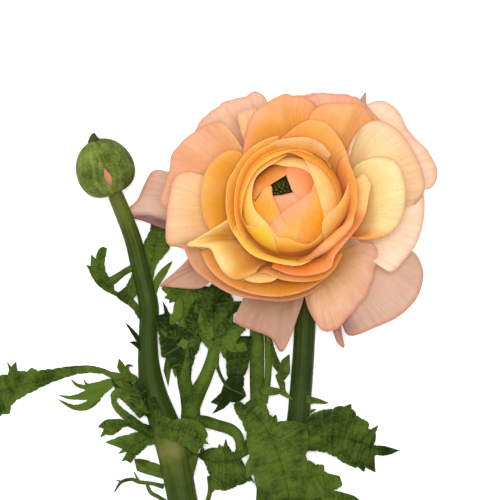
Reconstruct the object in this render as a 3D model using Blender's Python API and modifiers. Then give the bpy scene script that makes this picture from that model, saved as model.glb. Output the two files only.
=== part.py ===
"""Ranunculus flower: one cut, branching stem laid on a flat surface, with its bloom, a bud and leaves.

Run with: blender --background --python part.py
Metres, +Z up. The stem lies along Y with its cut end at -Y, and the bloom faces up.
The dimensions and tables below are in millimetres and are turned to metres by MM.
"""

from math import cos, degrees, pi, radians, sin

import bmesh
import bpy
from mathutils import Matrix, Vector, geometry

MM = 0.001

# ---------------------------------------------------------------- driving dimensions, in millimetres
FOOTPRINT_CENTRE = Vector((-13.14, -48.88, 0.0))  # the design frame's point that becomes the origin
BLOOM_BASE = Vector((15.2, 7.1, 20.0))  # middle of the receptacle, where the petals start
BLOOM_TILT = 20.0  # how far the bloom leans from straight up, in degrees
BLOOM_LEAN = 121.0  # the direction it leans to, in degrees round from +X
BUD_CENTRE = Vector((-43.7, 26.6, 9.0))
BUD_AXIS = Vector((-0.36, 0.90, 0.14))
PETAL_THICK = 0.45
SEPAL_THICK = 0.6
BLADE_THICK = 0.55
STALK_THICK = 2.0
PETAL_GRID = (8, 7)
CORE_GRID = (7, 6)
SEPAL_GRID = (5, 5)
STEM_SIDES = 3  # bevel resolution of the round stems
LEAF_CELL = 5.0  # spacing of the points inside a leaf blade

# Profiles of the petal layers, from the innermost outwards. Each is a cubic curve of (radius, height)
# points in the bloom's own frame: start on the receptacle, two handles, and the rim.
BLOOM_LAYERS = (
    ((2.9, 7.4), (9.5, 9.5), (9.0, 24.5), (2.4, 26.5)),
    ((3.3, 6.6), (12.5, 8.4), (12.6, 27.0), (4.0, 29.2)),
    ((3.7, 5.8), (15.6, 7.2), (15.8, 29.0), (7.0, 31.6)),
    ((4.1, 5.0), (18.4, 6.0), (18.0, 29.5), (11.8, 33.8)),
    ((4.6, 4.1), (21.0, 4.6), (20.0, 27.5), (17.6, 35.2)),
    ((5.1, 3.1), (24.0, 2.6), (24.0, 20.0), (28.0, 32.0)),
    ((5.6, 2.0), (24.0, 0.4), (31.0, 11.0), (37.0, 23.5)),
    ((6.1, 0.9), (23.5, -2.0), (36.0, 2.5), (43.5, 11.0)),
    ((6.5, -0.3), (22.0, -4.0), (38.0, -4.5), (47.5, -4.5)),
    ((6.9, -1.5), (20.0, -6.5), (35.0, -10.5), (48.0, -16.5)),
    ((7.2, -2.8), (14.0, -7.5), (19.0, -11.0), (22.0, -15.0)),
)
BUD_LAYERS = (
    ((2.6, -7.4), (10.4, -7.0), (9.6, 6.6), (1.6, 8.6)),
    ((2.9, -8.3), (11.6, -7.9), (10.8, 7.4), (2.0, 9.9)),
)

# Whorls of the bloom: name, layer, number of petals, first azimuth, half width, reach.
WHORLS = (
    ("heart_petal", 0.0, 3, 20.0, 60.0, 0.98),
    ("core_petal", 1.0, 3, 78.0, 60.0, 0.96),
    ("inner_petal", 2.0, 3, 35.0, 62.0, 0.96),
    ("ball_petal", 3.0, 4, 62.0, 52.0, 0.97),
    ("cup_petal", 4.0, 4, 20.0, 54.0, 0.97),
)
# Open petals: name, layer, azimuth, half width, reach, rounding of the rim, point at its middle.
OPEN_PETALS = (
    ("open_petal_right", 5.45, -5.0, 40.0, 1.00, 0.50, 0.0),
    ("open_petal_top", 5.0, 76.0, 46.0, 0.98, 0.50, 0.0),
    ("open_petal_left", 5.0, 170.0, 46.0, 0.92, 0.50, 0.0),
    ("open_petal_bottom", 5.0, 262.0, 46.0, 0.92, 0.45, 0.0),
    ("wide_petal_right", 6.1, 38.0, 40.0, 1.00, 0.50, 0.0),
    ("wide_petal_top", 6.0, 112.0, 42.0, 0.98, 0.50, 0.0),
    ("wide_petal_left", 6.0, 207.0, 37.0, 0.90, 0.42, 0.0),
    ("wide_petal_bottom", 6.0, 298.0, 42.0, 0.84, 0.45, 0.0),
    ("guard_petal_top", 6.95, 80.0, 38.0, 0.90, 0.45, 0.0),
    ("guard_petal_upper_left", 7.1, 145.0, 27.0, 0.98, 0.40, 0.0),
    ("guard_petal_left", 6.9, 184.0, 26.0, 0.94, 0.45, 0.0),
    ("guard_petal_right", 7.0, -16.0, 32.0, 0.92, 0.42, 0.0),
    ("guard_petal_front", 7.6, -62.0, 27.0, 0.84, 0.40, 0.0),
    ("back_petal_top", 7.9, 126.0, 25.0, 0.99, 0.40, 0.0),
    ("back_petal_right", 8.5, -35.0, 28.0, 0.85, 0.40, 0.0),
    ("back_petal_far_left", 8.23, 168.0, 16.0, 1.16, 0.30, 0.0),
    ("back_petal_upper_right", 8.755, 39.0, 26.0, 1.04, 0.38, 0.0),
    ("back_petal_lower_left", 8.70, 198.5, 14.0, 0.96, 0.60, 0.08),
    ("back_petal_front", 9.0, 260.0, 24.0, 0.74, 0.60, 0.12),
)
CLAW = 0.32  # a petal's half width at its base, as a share of the widest
CORE_LEAN = (4.3, 108.0)  # how far the inmost layer's rim leans over, and towards which azimuth
TILT_CORE = 0.22  # how far a petal's right edge lies in the next layer out, and its left edge in
TILT_OPEN = 0.16

# Round stems: name, then (x, y, z, radius) from the lower end up.
BLOOM_STEM = (
    (1.0, -146.0, 4.6, 4.7),
    (1.4, -138.0, 4.5, 4.5),
    (2.6, -128.0, 4.7, 4.7),
    (3.6, -121.0, 4.9, 5.0),
    (4.6, -113.0, 4.7, 4.4),
    (7.6, -100.0, 4.3, 4.0),
    (10.4, -88.0, 4.1, 3.8),
    (12.4, -77.0, 4.0, 3.7),
    (13.8, -64.0, 3.9, 3.6),
    (15.4, -50.0, 3.8, 3.5),
    (16.6, -35.0, 3.6, 3.4),
    (17.3, -22.0, 3.5, 3.3),
)
BUD_STEM = (
    (2.6, -124.0, 4.6, 3.6),
    (-3.4, -116.5, 4.5, 4.3),
    (-9.0, -107.0, 4.5, 4.4),
    (-15.0, -96.0, 4.5, 4.5),
    (-20.0, -83.0, 4.5, 4.6),
    (-22.4, -72.0, 4.6, 4.7),
    (-24.2, -62.5, 4.9, 5.1),
    (-27.0, -54.0, 4.7, 4.6),
    (-30.2, -45.0, 4.4, 4.1),
    (-31.8, -36.0, 4.0, 3.4),
    (-32.0, -26.0, 3.7, 2.9),
    (-31.8, -17.5, 3.8, 3.1),
    (-33.2, -7.0, 4.1, 2.8),
    (-35.2, 2.0, 4.7, 2.7),
)
BUD_NECK = ((-20.0, 2.6), (-11.0, 2.45), (-7.35, 2.15))  # (height, radius) stations on the bud's axis
RECEPTACLE = (  # (height, radius) stations on the bloom's axis, where the petals are set
    (-5.0, 3.4),
    (-4.4, 4.6),
    (-3.4, 6.6),
    (-2.6, 6.75),
    (-1.5, 6.45),
    (2.0, 5.15),
    (7.0, 2.5),
    (7.7, 2.1),
)
CARPELS = (2.3, 2.3, 5.2)  # radii of the head of carpels
BUD_HEART = (6.7, 6.7, 7.0)  # radii of the bud's folded petals
NECK_FOOT = -7.0  # height on the bloom's axis where the stem's neck ends
NECK_RADIUS = 3.2
NECK_POINTS = 8
SEAT = 0.35  # gap between a piece and what it sits on
STEM_POINTS = 34

# Leaves: stalks as (x, y, z, half width) stations, and lobes as
# (x, y, z, heading, length, spread, teeth, depth of the cuts, height of the tips).
LEAVES = {
    "leaf_bud_left": (
        [[(-36.1, -18.6, 4.6, 1.8), (-38.9, -16.6, 5.4, 2.2), (-41.5, -13.0, 6.4, 2.4)]],
        [
            (-40.1, -15.0, 6.0, 121.0, 19.0, 20.0, 3, 0.45, 10.0),
            (-41.5, -13.0, 6.2, 52.0, 9.5, 12.0, 1, 0.55, 7.5),
        ],
    ),
    "leaf_bud_right": (
        [[(-27.0, -17.4, 4.4, 1.6), (-26.8, -13.0, 2.6, 2.0), (-27.2, -8.0, 1.4, 2.4)]],
        [
            (-27.4, -13.6, 2.6, 90.0, 19.0, 17.0, 3, 0.40, 0.8),
            (-26.8, -12.0, 2.4, 62.0, 9.0, 9.0, 1, 0.60, 0.8),
        ],
    ),
    "leaf_upper_node": (
        [
            [
                (-36.3, -44.0, 4.8, 1.8),
                (-38.9, -40.8, 5.6, 1.9),
                (-43.3, -38.4, 6.6, 1.7),
                (-50.3, -37.4, 7.4, 1.5),
                (-58.3, -38.2, 6.6, 1.5),
                (-66.3, -40.6, 4.6, 2.0),
            ]
        ],
        [
            (-62.3, -39.4, 5.6, 191.0, 24.0, 27.0, 5, 0.34, 0.9),
            (-41.8, -39.6, 6.2, 212.0, 20.0, 14.0, 3, 0.42, 1.2),
            (-38.9, -41.0, 5.6, 112.0, 7.0, 38.0, 3, 0.45, 8.0),
            (-38.3, -42.5, 5.4, 236.0, 10.0, 26.0, 2, 0.45, 1.6),
        ],
    ),
    "leaf_lower_left": (
        [
            [(-32.7, -57.6, 4.6, 1.8), (-36.3, -53.6, 5.2, 1.8), (-39.9, -51.0, 5.2, 1.7)],
            [(-32.7, -57.6, 4.6, 1.8), (-35.7, -58.8, 4.4, 1.9)],
        ],
        [
            (-38.5, -51.8, 5.2, 196.0, 12.5, 30.0, 4, 0.36, 1.0),
            (-33.7, -58.4, 4.5, 203.0, 17.0, 29.0, 5, 0.38, 0.7),
        ],
    ),
    "leaf_lower_front": (
        [[(-27.0, -55.0, 10.6, 1.8), (-22.0, -56.6, 10.8, 2.2), (-17.6, -58.0, 9.9, 2.0)]],
        [
            (-26.2, -55.6, 10.6, -22.0, 15.5, 40.0, 5, 0.30, 8.5),
            (-24.6, -56.4, 10.8, -78.0, 15.0, 26.0, 4, 0.34, 11.3),
        ],
    ),
    "leaf_fork": (
        [
            [(-19.2, -53.7, 5.0, 2.0), (-17.1, -48.7, 5.4, 2.0), (-15.9, -43.7, 5.4, 2.0)],
            [(-15.9, -43.7, 5.4, 2.0), (-16.9, -37.7, 5.6, 1.7), (-18.3, -30.7, 5.8, 1.6)],
            [(-15.9, -43.7, 5.4, 2.0), (-13.1, -38.7, 5.0, 1.8), (-10.1, -30.2, 4.6, 1.6)],
        ],
        [
            (-18.1, -32.7, 5.8, 102.0, 20.0, 36.0, 6, 0.36, 1.6),
            (-19.3, -31.7, 5.8, 158.0, 10.0, 24.0, 3, 0.40, 7.0),
            (-10.9, -32.2, 4.6, 88.0, 19.0, 36.0, 6, 0.36, 1.0),
        ],
    ),
    "leaf_behind_bloom": (
        [
            [
                (-1.2, -108.8, 4.6, 1.5),
                (-0.6, -103.0, 3.6, 2.1),
                (2.0, -90.0, 2.9, 2.2),
                (4.4, -77.0, 3.1, 2.3),
                (3.8, -65.0, 3.4, 2.3),
                (2.6, -52.0, 3.8, 2.2),
                (2.2, -40.0, 4.2, 2.1),
                (2.0, -28.0, 3.8, 1.9),
                (1.4, -18.0, 2.0, 1.5),
            ]
        ],
        [
            (1.8, -22.0, 2.6, 108.0, 26.0, 34.0, 6, 0.34, 0.8),
            (1.6, -44.0, 4.4, 127.0, 17.0, 26.0, 4, 0.34, 9.5),
            (3.6, -47.0, 4.0, 63.0, 15.0, 20.0, 4, 0.38, 7.6),
        ],
    ),
    "leaf_right_wing": (
        [[(18.9, -59.4, 4.4, 1.8), (22.3, -59.8, 5.2, 2.0), (26.3, -60.0, 5.4, 1.8)]],
        [(19.3, -59.6, 4.8, 4.0, 28.5, 36.0, 7, 0.30, 1.0)],
    ),
    "leaf_right_front": (
        [[(12.6, -76.0, 9.4, 1.9), (12.2, -71.0, 9.7, 2.2), (11.0, -66.0, 9.9, 2.0)]],
        [
            (12.2, -74.0, 9.7, 112.0, 25.0, 38.0, 7, 0.28, 9.6),
            (13.4, -74.5, 9.8, 24.0, 19.0, 28.0, 5, 0.38, 1.2),
        ],
    ),
    "leaf_low_middle": (
        [
            [
                (-18.3, -61.4, 4.2, 1.5),
                (-13.9, -55.6, 4.6, 1.5),
                (-9.9, -54.6, 5.2, 1.5),
                (-5.3, -57.0, 5.6, 1.4),
                (-2.7, -61.0, 5.4, 1.4),
            ]
        ],
        [(-2.9, -60.0, 5.4, 232.0, 17.0, 34.0, 5, 0.32, 0.8)],
    ),
    "leaf_low_left": (
        [[(-27.4, -75.0, 4.2, 1.2), (-33.3, -72.8, 4.6, 1.0), (-38.3, -72.6, 3.4, 0.9)]],
        [
            (-36.9, -72.6, 3.8, 179.0, 8.0, 26.0, 2, 0.50, 1.0),
            (-29.7, -74.0, 4.4, 142.0, 13.0, 17.0, 2, 0.30, 2.2),
        ],
    ),
}
LOBE_FOOT = 1.1  # half width of a lobe where it leaves its stalk


def smooth(t):
    """Eases from 0 to 1 with no slope at either end."""
    t = min(1.0, max(0.0, t))
    return t * t * (3 - 2 * t)


def material(name, colour, roughness):
    made = bpy.data.materials.new(name)
    made.use_nodes = True
    shader = made.node_tree.nodes["Principled BSDF"]
    shader.inputs["Base Color"].default_value = (*colour, 1.0)
    shader.inputs["Roughness"].default_value = roughness
    made.diffuse_color = (*colour, 1.0)
    return made


def clear_scene():
    for old in list(bpy.data.objects):
        bpy.data.objects.remove(old)


def new_collection(name):
    made = bpy.data.collections.new(name)
    bpy.context.scene.collection.children.link(made)
    return made


def add_object(name, data, finish):
    """Links one named part with its material, parented to the plant's empty."""
    made = bpy.data.objects.new(name, data)
    data.materials.clear()
    data.materials.append(finish)
    PARTS.objects.link(made)
    made.parent = PLANT
    return made


def add_shell(made, thick, weights=None):
    """Gives an open surface its wall, half on each side."""
    wall = made.modifiers.new("wall", "SOLIDIFY")
    wall.thickness = thick * MM
    wall.offset = 0.0
    wall.use_even_offset = False
    if weights:
        wall.vertex_group = weights
    return wall


# ---------------------------------------------------------------- petals
def layer_point(layers, layer, along):
    """(radius, height) at a share along the profile of a layer, which may lie between two of the table's."""
    lower = min(len(layers) - 2, max(0, int(layer // 1)))
    mix = layer - lower
    points = []
    for inner, outer in zip(layers[lower], layers[lower + 1]):
        points.append(Vector(inner).lerp(Vector(outer), mix))
    rest = 1 - along
    return (
        points[0] * rest**3
        + points[1] * (3 * along * rest**2)
        + points[2] * (3 * along**2 * rest)
        + points[3] * along**3
    )


def petal_point(layers, form, across, up):
    """A point of a petal: across runs from -1 to 1 over its width, and up from 0 at its base to 1 at its rim."""
    side = sin(pi / 2 * across)
    rim = 1 - form["rounding"] * (1 - cos(pi / 2 * across))
    rim += form["point"] * max(0.0, 1 - abs(across) * 3)
    along = up * form["reach"] * rim
    spread = CLAW + (1 - CLAW) * sin(pi / 2 * min(1.0, up / 0.62))
    angle = radians(form["azimuth"] + side * spread * form["half_width"])
    layer = form["layer"] + form["tilt"] * side * smooth(up / 0.4)
    radius, height = layer_point(layers, layer, along)
    lean = form["lean"] * max(0.0, 1 - layer / 4) * (height / layers[0][3][1]) ** 2
    x = radius * cos(angle) + lean * cos(radians(CORE_LEAN[1]))
    y = radius * sin(angle) + lean * sin(radians(CORE_LEAN[1]))
    return Vector((x, y, height))


def petal(name, layers, form, grid, thick, place, finish):
    """A petal: a flat grid bent onto its layer, then given a wall."""
    sheet = bmesh.new()
    bmesh.ops.create_grid(sheet, x_segments=grid[0], y_segments=grid[1], size=1.0)
    for point in sheet.verts:
        point.co = place @ (petal_point(layers, form, point.co.x, (point.co.y + 1) / 2) * MM)
    data = bpy.data.meshes.new(name)
    sheet.to_mesh(data)
    sheet.free()
    data.shade_smooth()
    made = add_object(name, data, finish)
    add_shell(made, thick)
    return made


def form_of(layer, azimuth, half_width, reach, rounding=0.45, point=0.0, tilt=TILT_OPEN, lean=0.0):
    return {
        "layer": layer,
        "azimuth": azimuth,
        "half_width": half_width,
        "reach": reach,
        "rounding": rounding,
        "point": point,
        "tilt": tilt,
        "lean": lean,
    }


def frame_at(origin, axis):
    """Places a local frame whose Z is the axis at a point given in millimetres."""
    return Matrix.Translation(origin * MM) @ Vector((0, 0, 1)).rotation_difference(axis).to_matrix().to_4x4()


def bloom_axis():
    tilt, lean = radians(BLOOM_TILT), radians(BLOOM_LEAN)
    return Vector((sin(tilt) * cos(lean), sin(tilt) * sin(lean), cos(tilt)))


def make_bloom():
    place = frame_at(BLOOM_BASE, bloom_axis())
    inner = material("petal_inner", (0.93, 0.55, 0.14), 0.55)
    outer = material("petal_outer", (0.92, 0.62, 0.45), 0.55)
    for name, layer, count, first, half_width, reach in WHORLS:
        for i in range(count):
            azimuth = first + 360.0 * i / count
            form = form_of(layer, azimuth, half_width, reach, tilt=TILT_CORE, lean=CORE_LEAN[0])
            petal(f"{name}_{i + 1}", BLOOM_LAYERS, form, CORE_GRID, PETAL_THICK, place, inner)
    for name, layer, azimuth, half_width, reach, rounding, point in OPEN_PETALS:
        form = form_of(layer, azimuth, half_width, reach, rounding, point)
        finish = inner if layer < 6.5 else outer
        petal(name, BLOOM_LAYERS, form, PETAL_GRID, PETAL_THICK, place, finish)
    make_sepals(place)
    make_carpels(place)


def make_sepals(place):
    """Five small green sepals under the guard petals."""
    finish = material("sepal", (0.24, 0.36, 0.10), 0.6)
    for i in range(5):
        form = form_of(10.0, 30.0 + 72.0 * i, 28.0, 0.92, 0.6)
        petal(f"sepal_{i + 1}", BLOOM_LAYERS, form, SEPAL_GRID, SEPAL_THICK, place, finish)


def add_ball(name, place, height, radii, segments, finish):
    """An ellipsoid on a frame's axis, with its radii in millimetres."""
    ball = bmesh.new()
    bmesh.ops.create_uvsphere(ball, u_segments=segments, v_segments=segments * 2 // 3, radius=MM)
    shape = Matrix.Translation((0, 0, height * MM)) @ Matrix.Diagonal((*radii, 1.0))
    bmesh.ops.transform(ball, matrix=place @ shape, verts=ball.verts)
    data = bpy.data.meshes.new(name)
    ball.to_mesh(data)
    ball.free()
    data.shade_smooth()
    return add_object(name, data, finish)


def make_carpels(place):
    """The green head of carpels in the middle of the bloom: a dome on the receptacle's top."""
    height = RECEPTACLE[-1][0] + SEAT + CARPELS[2]
    add_ball("carpel_head", place, height, CARPELS, 12, material("carpel", (0.10, 0.17, 0.04), 0.6))


# ---------------------------------------------------------------- bud
def make_bud():
    """The closed bud: its folded petals, with five sepals wrapped over them."""
    place = frame_at(BUD_CENTRE, BUD_AXIS)
    sepal = material("bud_sepal", (0.20, 0.32, 0.07), 0.5)
    for i in range(5):
        form = form_of(0.45, 28.0 + 72.0 * i, 44.0, 1.0, 0.4, tilt=0.50)
        petal(f"bud_sepal_{i + 1}", BUD_LAYERS, form, CORE_GRID, SEPAL_THICK, place, sepal)
    add_ball("bud_folded_petals", place, 0.0, BUD_HEART, 16, material("bud_petals", (0.80, 0.45, 0.34), 0.55))


# ---------------------------------------------------------------- stems
def along_points(points, count):
    """count points, evenly spaced in parameter, on the smooth curve (Catmull-Rom) through the given ones."""
    ends = [points[0] * 2 - points[1], *points, points[-1] * 2 - points[-2]]
    found = []
    for i in range(count):
        place = i / (count - 1) * (len(points) - 1)
        k = min(len(points) - 2, int(place))
        t = place - k
        a, b, c, d = ends[k : k + 4]
        found.append(
            0.5 * (2 * b + (c - a) * t + (2 * a - 5 * b + 4 * c - d) * t**2 + (3 * b - a - 3 * c + d) * t**3)
        )
    return found


def round_stem(name, stations):
    """A round stem: a bevelled curve through (x, y, z, radius) stations."""
    data = bpy.data.curves.new(name, "CURVE")
    data.dimensions = "3D"
    data.bevel_depth = MM
    data.bevel_resolution = STEM_SIDES
    data.use_fill_caps = True
    line = data.splines.new("POLY")
    line.points.add(len(stations) - 1)
    for point, (x, y, z, radius) in zip(line.points, stations):
        point.co = (x * MM, y * MM, z * MM, 1.0)
        point.radius = radius
    return add_object(name, data, None)


def solid_of(curve, finish):
    """The closed mesh object of a bevelled curve, which it replaces."""
    bpy.context.view_layer.update()
    evaluated = curve.evaluated_get(bpy.context.evaluated_depsgraph_get())
    data = bpy.data.meshes.new_from_object(evaluated)
    name = curve.name
    bpy.data.objects.remove(curve)
    shape = bmesh.new()
    shape.from_mesh(data)
    bmesh.ops.remove_doubles(shape, verts=shape.verts, dist=1e-6)
    bmesh.ops.recalc_face_normals(shape, faces=shape.faces)
    shape.to_mesh(data)
    shape.free()
    data.shade_smooth()
    return add_object(name, data, finish)


def neck_stations(last, heading):
    """The bloom stem's neck, which bends up off the surface, and the receptacle on top of it."""
    axis = bloom_axis()
    start = last.to_3d()
    foot = BLOOM_BASE + axis * NECK_FOOT
    reach = (foot - start).length
    handles = (start + heading * reach * 0.55, foot - axis * reach * 0.27)
    bend = geometry.interpolate_bezier(start, *handles, foot, NECK_POINTS + 1)[1:]
    stations = [(*point, last[3] + (NECK_RADIUS - last[3]) * (i + 1) / NECK_POINTS) for i, point in enumerate(bend)]
    return stations + [(*(BLOOM_BASE + axis * height), radius) for height, radius in RECEPTACLE]


def make_stem():
    """The branching stem: the bloom's stem and the bud's, which are one where they meet."""
    green = material("stem", (0.16, 0.27, 0.08), 0.5)
    run = along_points([Vector(p) for p in BLOOM_STEM], STEM_POINTS)
    heading = (run[-1] - run[-2]).to_3d().normalized()
    main_stem = solid_of(round_stem("flower_stem", run + neck_stations(run[-1], heading)), green)
    neck = [(*(BUD_CENTRE + BUD_AXIS.normalized() * height), radius) for height, radius in BUD_NECK]
    route = along_points([Vector(p) for p in (*BUD_STEM, *neck)], STEM_POINTS)
    branch = solid_of(round_stem("bud_branch", route), green)
    branch.hide_render = True
    branch.display_type = "WIRE"
    join = main_stem.modifiers.new("join", "BOOLEAN")
    join.operation = "UNION"
    join.object = branch


# ---------------------------------------------------------------- leaves
def polar(origin, angle, length):
    """The plan point at a length and an angle in degrees from another."""
    return Vector((origin[0] + length * cos(radians(angle)), origin[1] + length * sin(radians(angle))))


def lobe_outline(lobe):
    """Outline of a toothed, wedge-shaped lobe: its margin swings in and out once for each tooth."""
    x, y, _, heading, length, spread, teeth, depth, _ = lobe
    base = (x, y)
    steps = 4 * teeth
    outline = [polar(base, heading - 90, LOBE_FOOT), polar(base, heading + 180, LOBE_FOOT)]
    outline.append(polar(base, heading + 90, LOBE_FOOT))
    for i in range(steps + 1):
        across = 1 - 2 * i / steps
        swing = 1 - abs((i / 4) % 1 * 2 - 1)
        reach = length * (1 - 0.28 * across**2) * (1 - depth * (1 - swing))
        outline.append(polar(base, heading + across * spread, reach))
    return outline


def stalk_outline(stations):
    """Outline of a stalk in plan, from (x, y, z, half width) stations."""
    left, right = [], []
    for i, (x, y, _, half_width) in enumerate(stations):
        before, after = stations[max(0, i - 1)], stations[min(len(stations) - 1, i + 1)]
        heading = degrees(Vector((after[0] - before[0], after[1] - before[1])).to_2d().angle_signed((1, 0)))
        left.append(polar((x, y), heading + 90, half_width))
        right.append(polar((x, y), heading - 90, half_width))
    return left + right[::-1]


def leaf_height(point, heights):
    """Height of the leaf over a plan point: the mean of its known heights, weighted by nearness."""
    total, weights = 0.0, 0.0
    for x, y, z in heights:
        weight = 1 / ((point.x - x) ** 2 + (point.y - y) ** 2 + 0.5) ** 1.5
        total += weight * z
        weights += weight
    return total / weights


def distance_to_stalks(point, stalks):
    """How far a plan point is from the nearest stalk's middle line, as a share of the stalk's half width."""
    nearest = 9.0
    for stations in stalks:
        for a, b in zip(stations, stations[1:]):
            foot, share = geometry.intersect_point_line(point, Vector(a[:2]), Vector(b[:2]))
            foot = Vector(a[:2]).lerp(Vector(b[:2]), min(1.0, max(0.0, share)))
            nearest = min(nearest, (point - foot.to_2d()).length / a[3])
    return nearest


def leaf_surface(stalks, lobes):
    """The leaf in plan, as triangles: the union of its outlines, with a lattice of points inside."""
    points, faces = [], []
    for outline in [stalk_outline(s) for s in stalks] + [lobe_outline(lobe) for lobe in lobes]:
        faces.append(list(range(len(points), len(points) + len(outline))))
        points += outline
    for stations in stalks:
        points += [Vector(s[:2]) for s in stations]
    low = Vector((min(p.x for p in points), min(p.y for p in points)))
    high = Vector((max(p.x for p in points), max(p.y for p in points)))
    for i in range(int((high.x - low.x) / LEAF_CELL) + 1):
        for j in range(int((high.y - low.y) / LEAF_CELL) + 1):
            points.append(low + Vector((i + 0.5 * (j % 2), j)) * LEAF_CELL)
    return geometry.delaunay_2d_cdt(points, [], faces, 1, 1e-4)


def leaf(name, stalks, lobes, finish):
    """A leaf: its plan, lifted to the heights of its stalks and tips, with a wall thicker along the stalks."""
    heights = [s[:3] for stations in stalks for s in stations]
    for x, y, z, heading, length, spread, _, _, tip in lobes:
        heights.append((x, y, z))
        for share in (-0.8, 0.0, 0.8):
            end = polar((x, y), heading + share * spread, length * 0.9)
            heights.append((end.x, end.y, tip))
    points, _, faces, *_ = leaf_surface(stalks, lobes)
    sheet = bmesh.new()
    corners = [sheet.verts.new((p.x * MM, p.y * MM, leaf_height(p, heights) * MM)) for p in points]
    for face in faces:
        sheet.faces.new([corners[i] for i in face])
    bmesh.ops.delete(sheet, geom=[v for v in sheet.verts if not v.link_faces], context="VERTS")
    bmesh.ops.recalc_face_normals(sheet, faces=sheet.faces)
    data = bpy.data.meshes.new(name)
    sheet.to_mesh(data)
    sheet.free()
    made = add_object(name, data, finish)
    ribs = made.vertex_groups.new(name="ribs")
    for vertex in data.vertices:
        away = distance_to_stalks(vertex.co.to_2d() / MM, stalks)
        ribs.add([vertex.index], max(0.0, 1 - away), "REPLACE")
    wall = add_shell(made, STALK_THICK, "ribs")
    wall.thickness_vertex_group = BLADE_THICK / STALK_THICK
    return made


def make_leaves():
    green = material("leaf", (0.12, 0.24, 0.05), 0.55)
    for name, (stalks, lobes) in LEAVES.items():
        leaf(name, stalks, lobes, green)


PARTS = None
PLANT = None


def main():
    global PARTS, PLANT
    clear_scene()
    PARTS = new_collection("ranunculus_flower")
    PLANT = bpy.data.objects.new("plant", None)
    PARTS.objects.link(PLANT)
    PLANT.location = -FOOTPRINT_CENTRE * MM
    make_bloom()
    make_bud()
    make_stem()
    make_leaves()


main()
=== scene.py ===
"""Ranunculus, finished: petals, bud, stems and leaves of one cut, branching stem on a pale table.

Lengths in the tables are millimetres from a zero point on the table, under the bloom and left of its
middle, with +Y along the stem and +Z up. FOOTPRINT_CENTRE takes them to the frame, whose origin is under
the middle of the whole plan outline. Angles are degrees, counted from +X towards +Y.
"""

import bpy
import numpy as np
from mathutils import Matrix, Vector


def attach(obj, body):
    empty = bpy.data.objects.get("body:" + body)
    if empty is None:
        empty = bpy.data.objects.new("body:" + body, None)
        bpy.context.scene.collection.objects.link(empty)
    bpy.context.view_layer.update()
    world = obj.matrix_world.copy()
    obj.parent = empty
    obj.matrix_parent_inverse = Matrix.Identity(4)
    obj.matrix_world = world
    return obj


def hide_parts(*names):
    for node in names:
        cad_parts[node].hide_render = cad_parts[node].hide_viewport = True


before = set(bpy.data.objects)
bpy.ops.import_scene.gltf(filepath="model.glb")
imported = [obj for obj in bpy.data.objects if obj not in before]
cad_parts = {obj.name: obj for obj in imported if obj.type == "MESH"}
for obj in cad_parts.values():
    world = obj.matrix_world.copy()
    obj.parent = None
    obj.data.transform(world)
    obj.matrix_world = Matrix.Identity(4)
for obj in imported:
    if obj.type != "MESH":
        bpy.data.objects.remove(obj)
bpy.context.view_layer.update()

MM = 0.001
FOOTPRINT_CENTRE = np.array((-13.14, -48.88, 0.0))
BLOOM_BASE = np.array((15.2, 7.1, 20.0))  # middle of the receptacle
BLOOM_TILT = 20.0
BLOOM_LEAN = 121.0
BUD_CENTRE = np.array((-45.25, 25.3, 9.5))
BUD_AXIS = np.array((-0.36, 0.90, 0.14))
PETAL_THICK = 0.34
PETAL_EDGE = 0.14  # thickness along a petal's rim
SEPAL_THICK = 0.6
BLADE_THICK = 0.5
BLADE_EDGE = 0.16
CLAW = 0.32  # a petal's half width at its base, as a share of the widest
PETAL_ROWS, PETAL_COLUMNS = 40, 46
TABLE_GAP = 0.02  # the lowest that any point may lie

# Profiles of the sepals under the bloom and of the bud's sepals: (radius, height) points of a cubic curve,
# in the flower's own frame. A sepal's layer may lie between two profiles.
SEPAL_LAYERS = np.array(
    (
        ((6.9, -1.5), (20.0, -6.5), (35.0, -10.5), (48.0, -16.5)),
        ((7.2, -2.8), (14.0, -7.5), (19.0, -11.0), (22.0, -15.0)),
    )
)
BUD_LAYERS = np.array(
    (
        ((2.6, -7.4), (10.8, -7.0), (10.0, 6.6), (1.6, 8.6)),
        ((2.9, -8.3), (12.05, -7.9), (11.25, 7.4), (2.0, 9.9)),
    )
)


# ---------------------------------------------------------------- shader expressions
class Value:
    """A number socket of a shader tree. Arithmetic on it adds Math nodes."""

    def __init__(self, shader, socket):
        self.shader, self.socket = shader, socket

    def __add__(self, other):
        return self.shader.maths("ADD", self, other)

    def __sub__(self, other):
        return self.shader.maths("SUBTRACT", self, other)

    def __rsub__(self, other):
        return self.shader.maths("SUBTRACT", other, self)

    def __mul__(self, other):
        return self.shader.maths("MULTIPLY", self, other)

    __radd__, __rmul__ = __add__, __mul__


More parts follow.
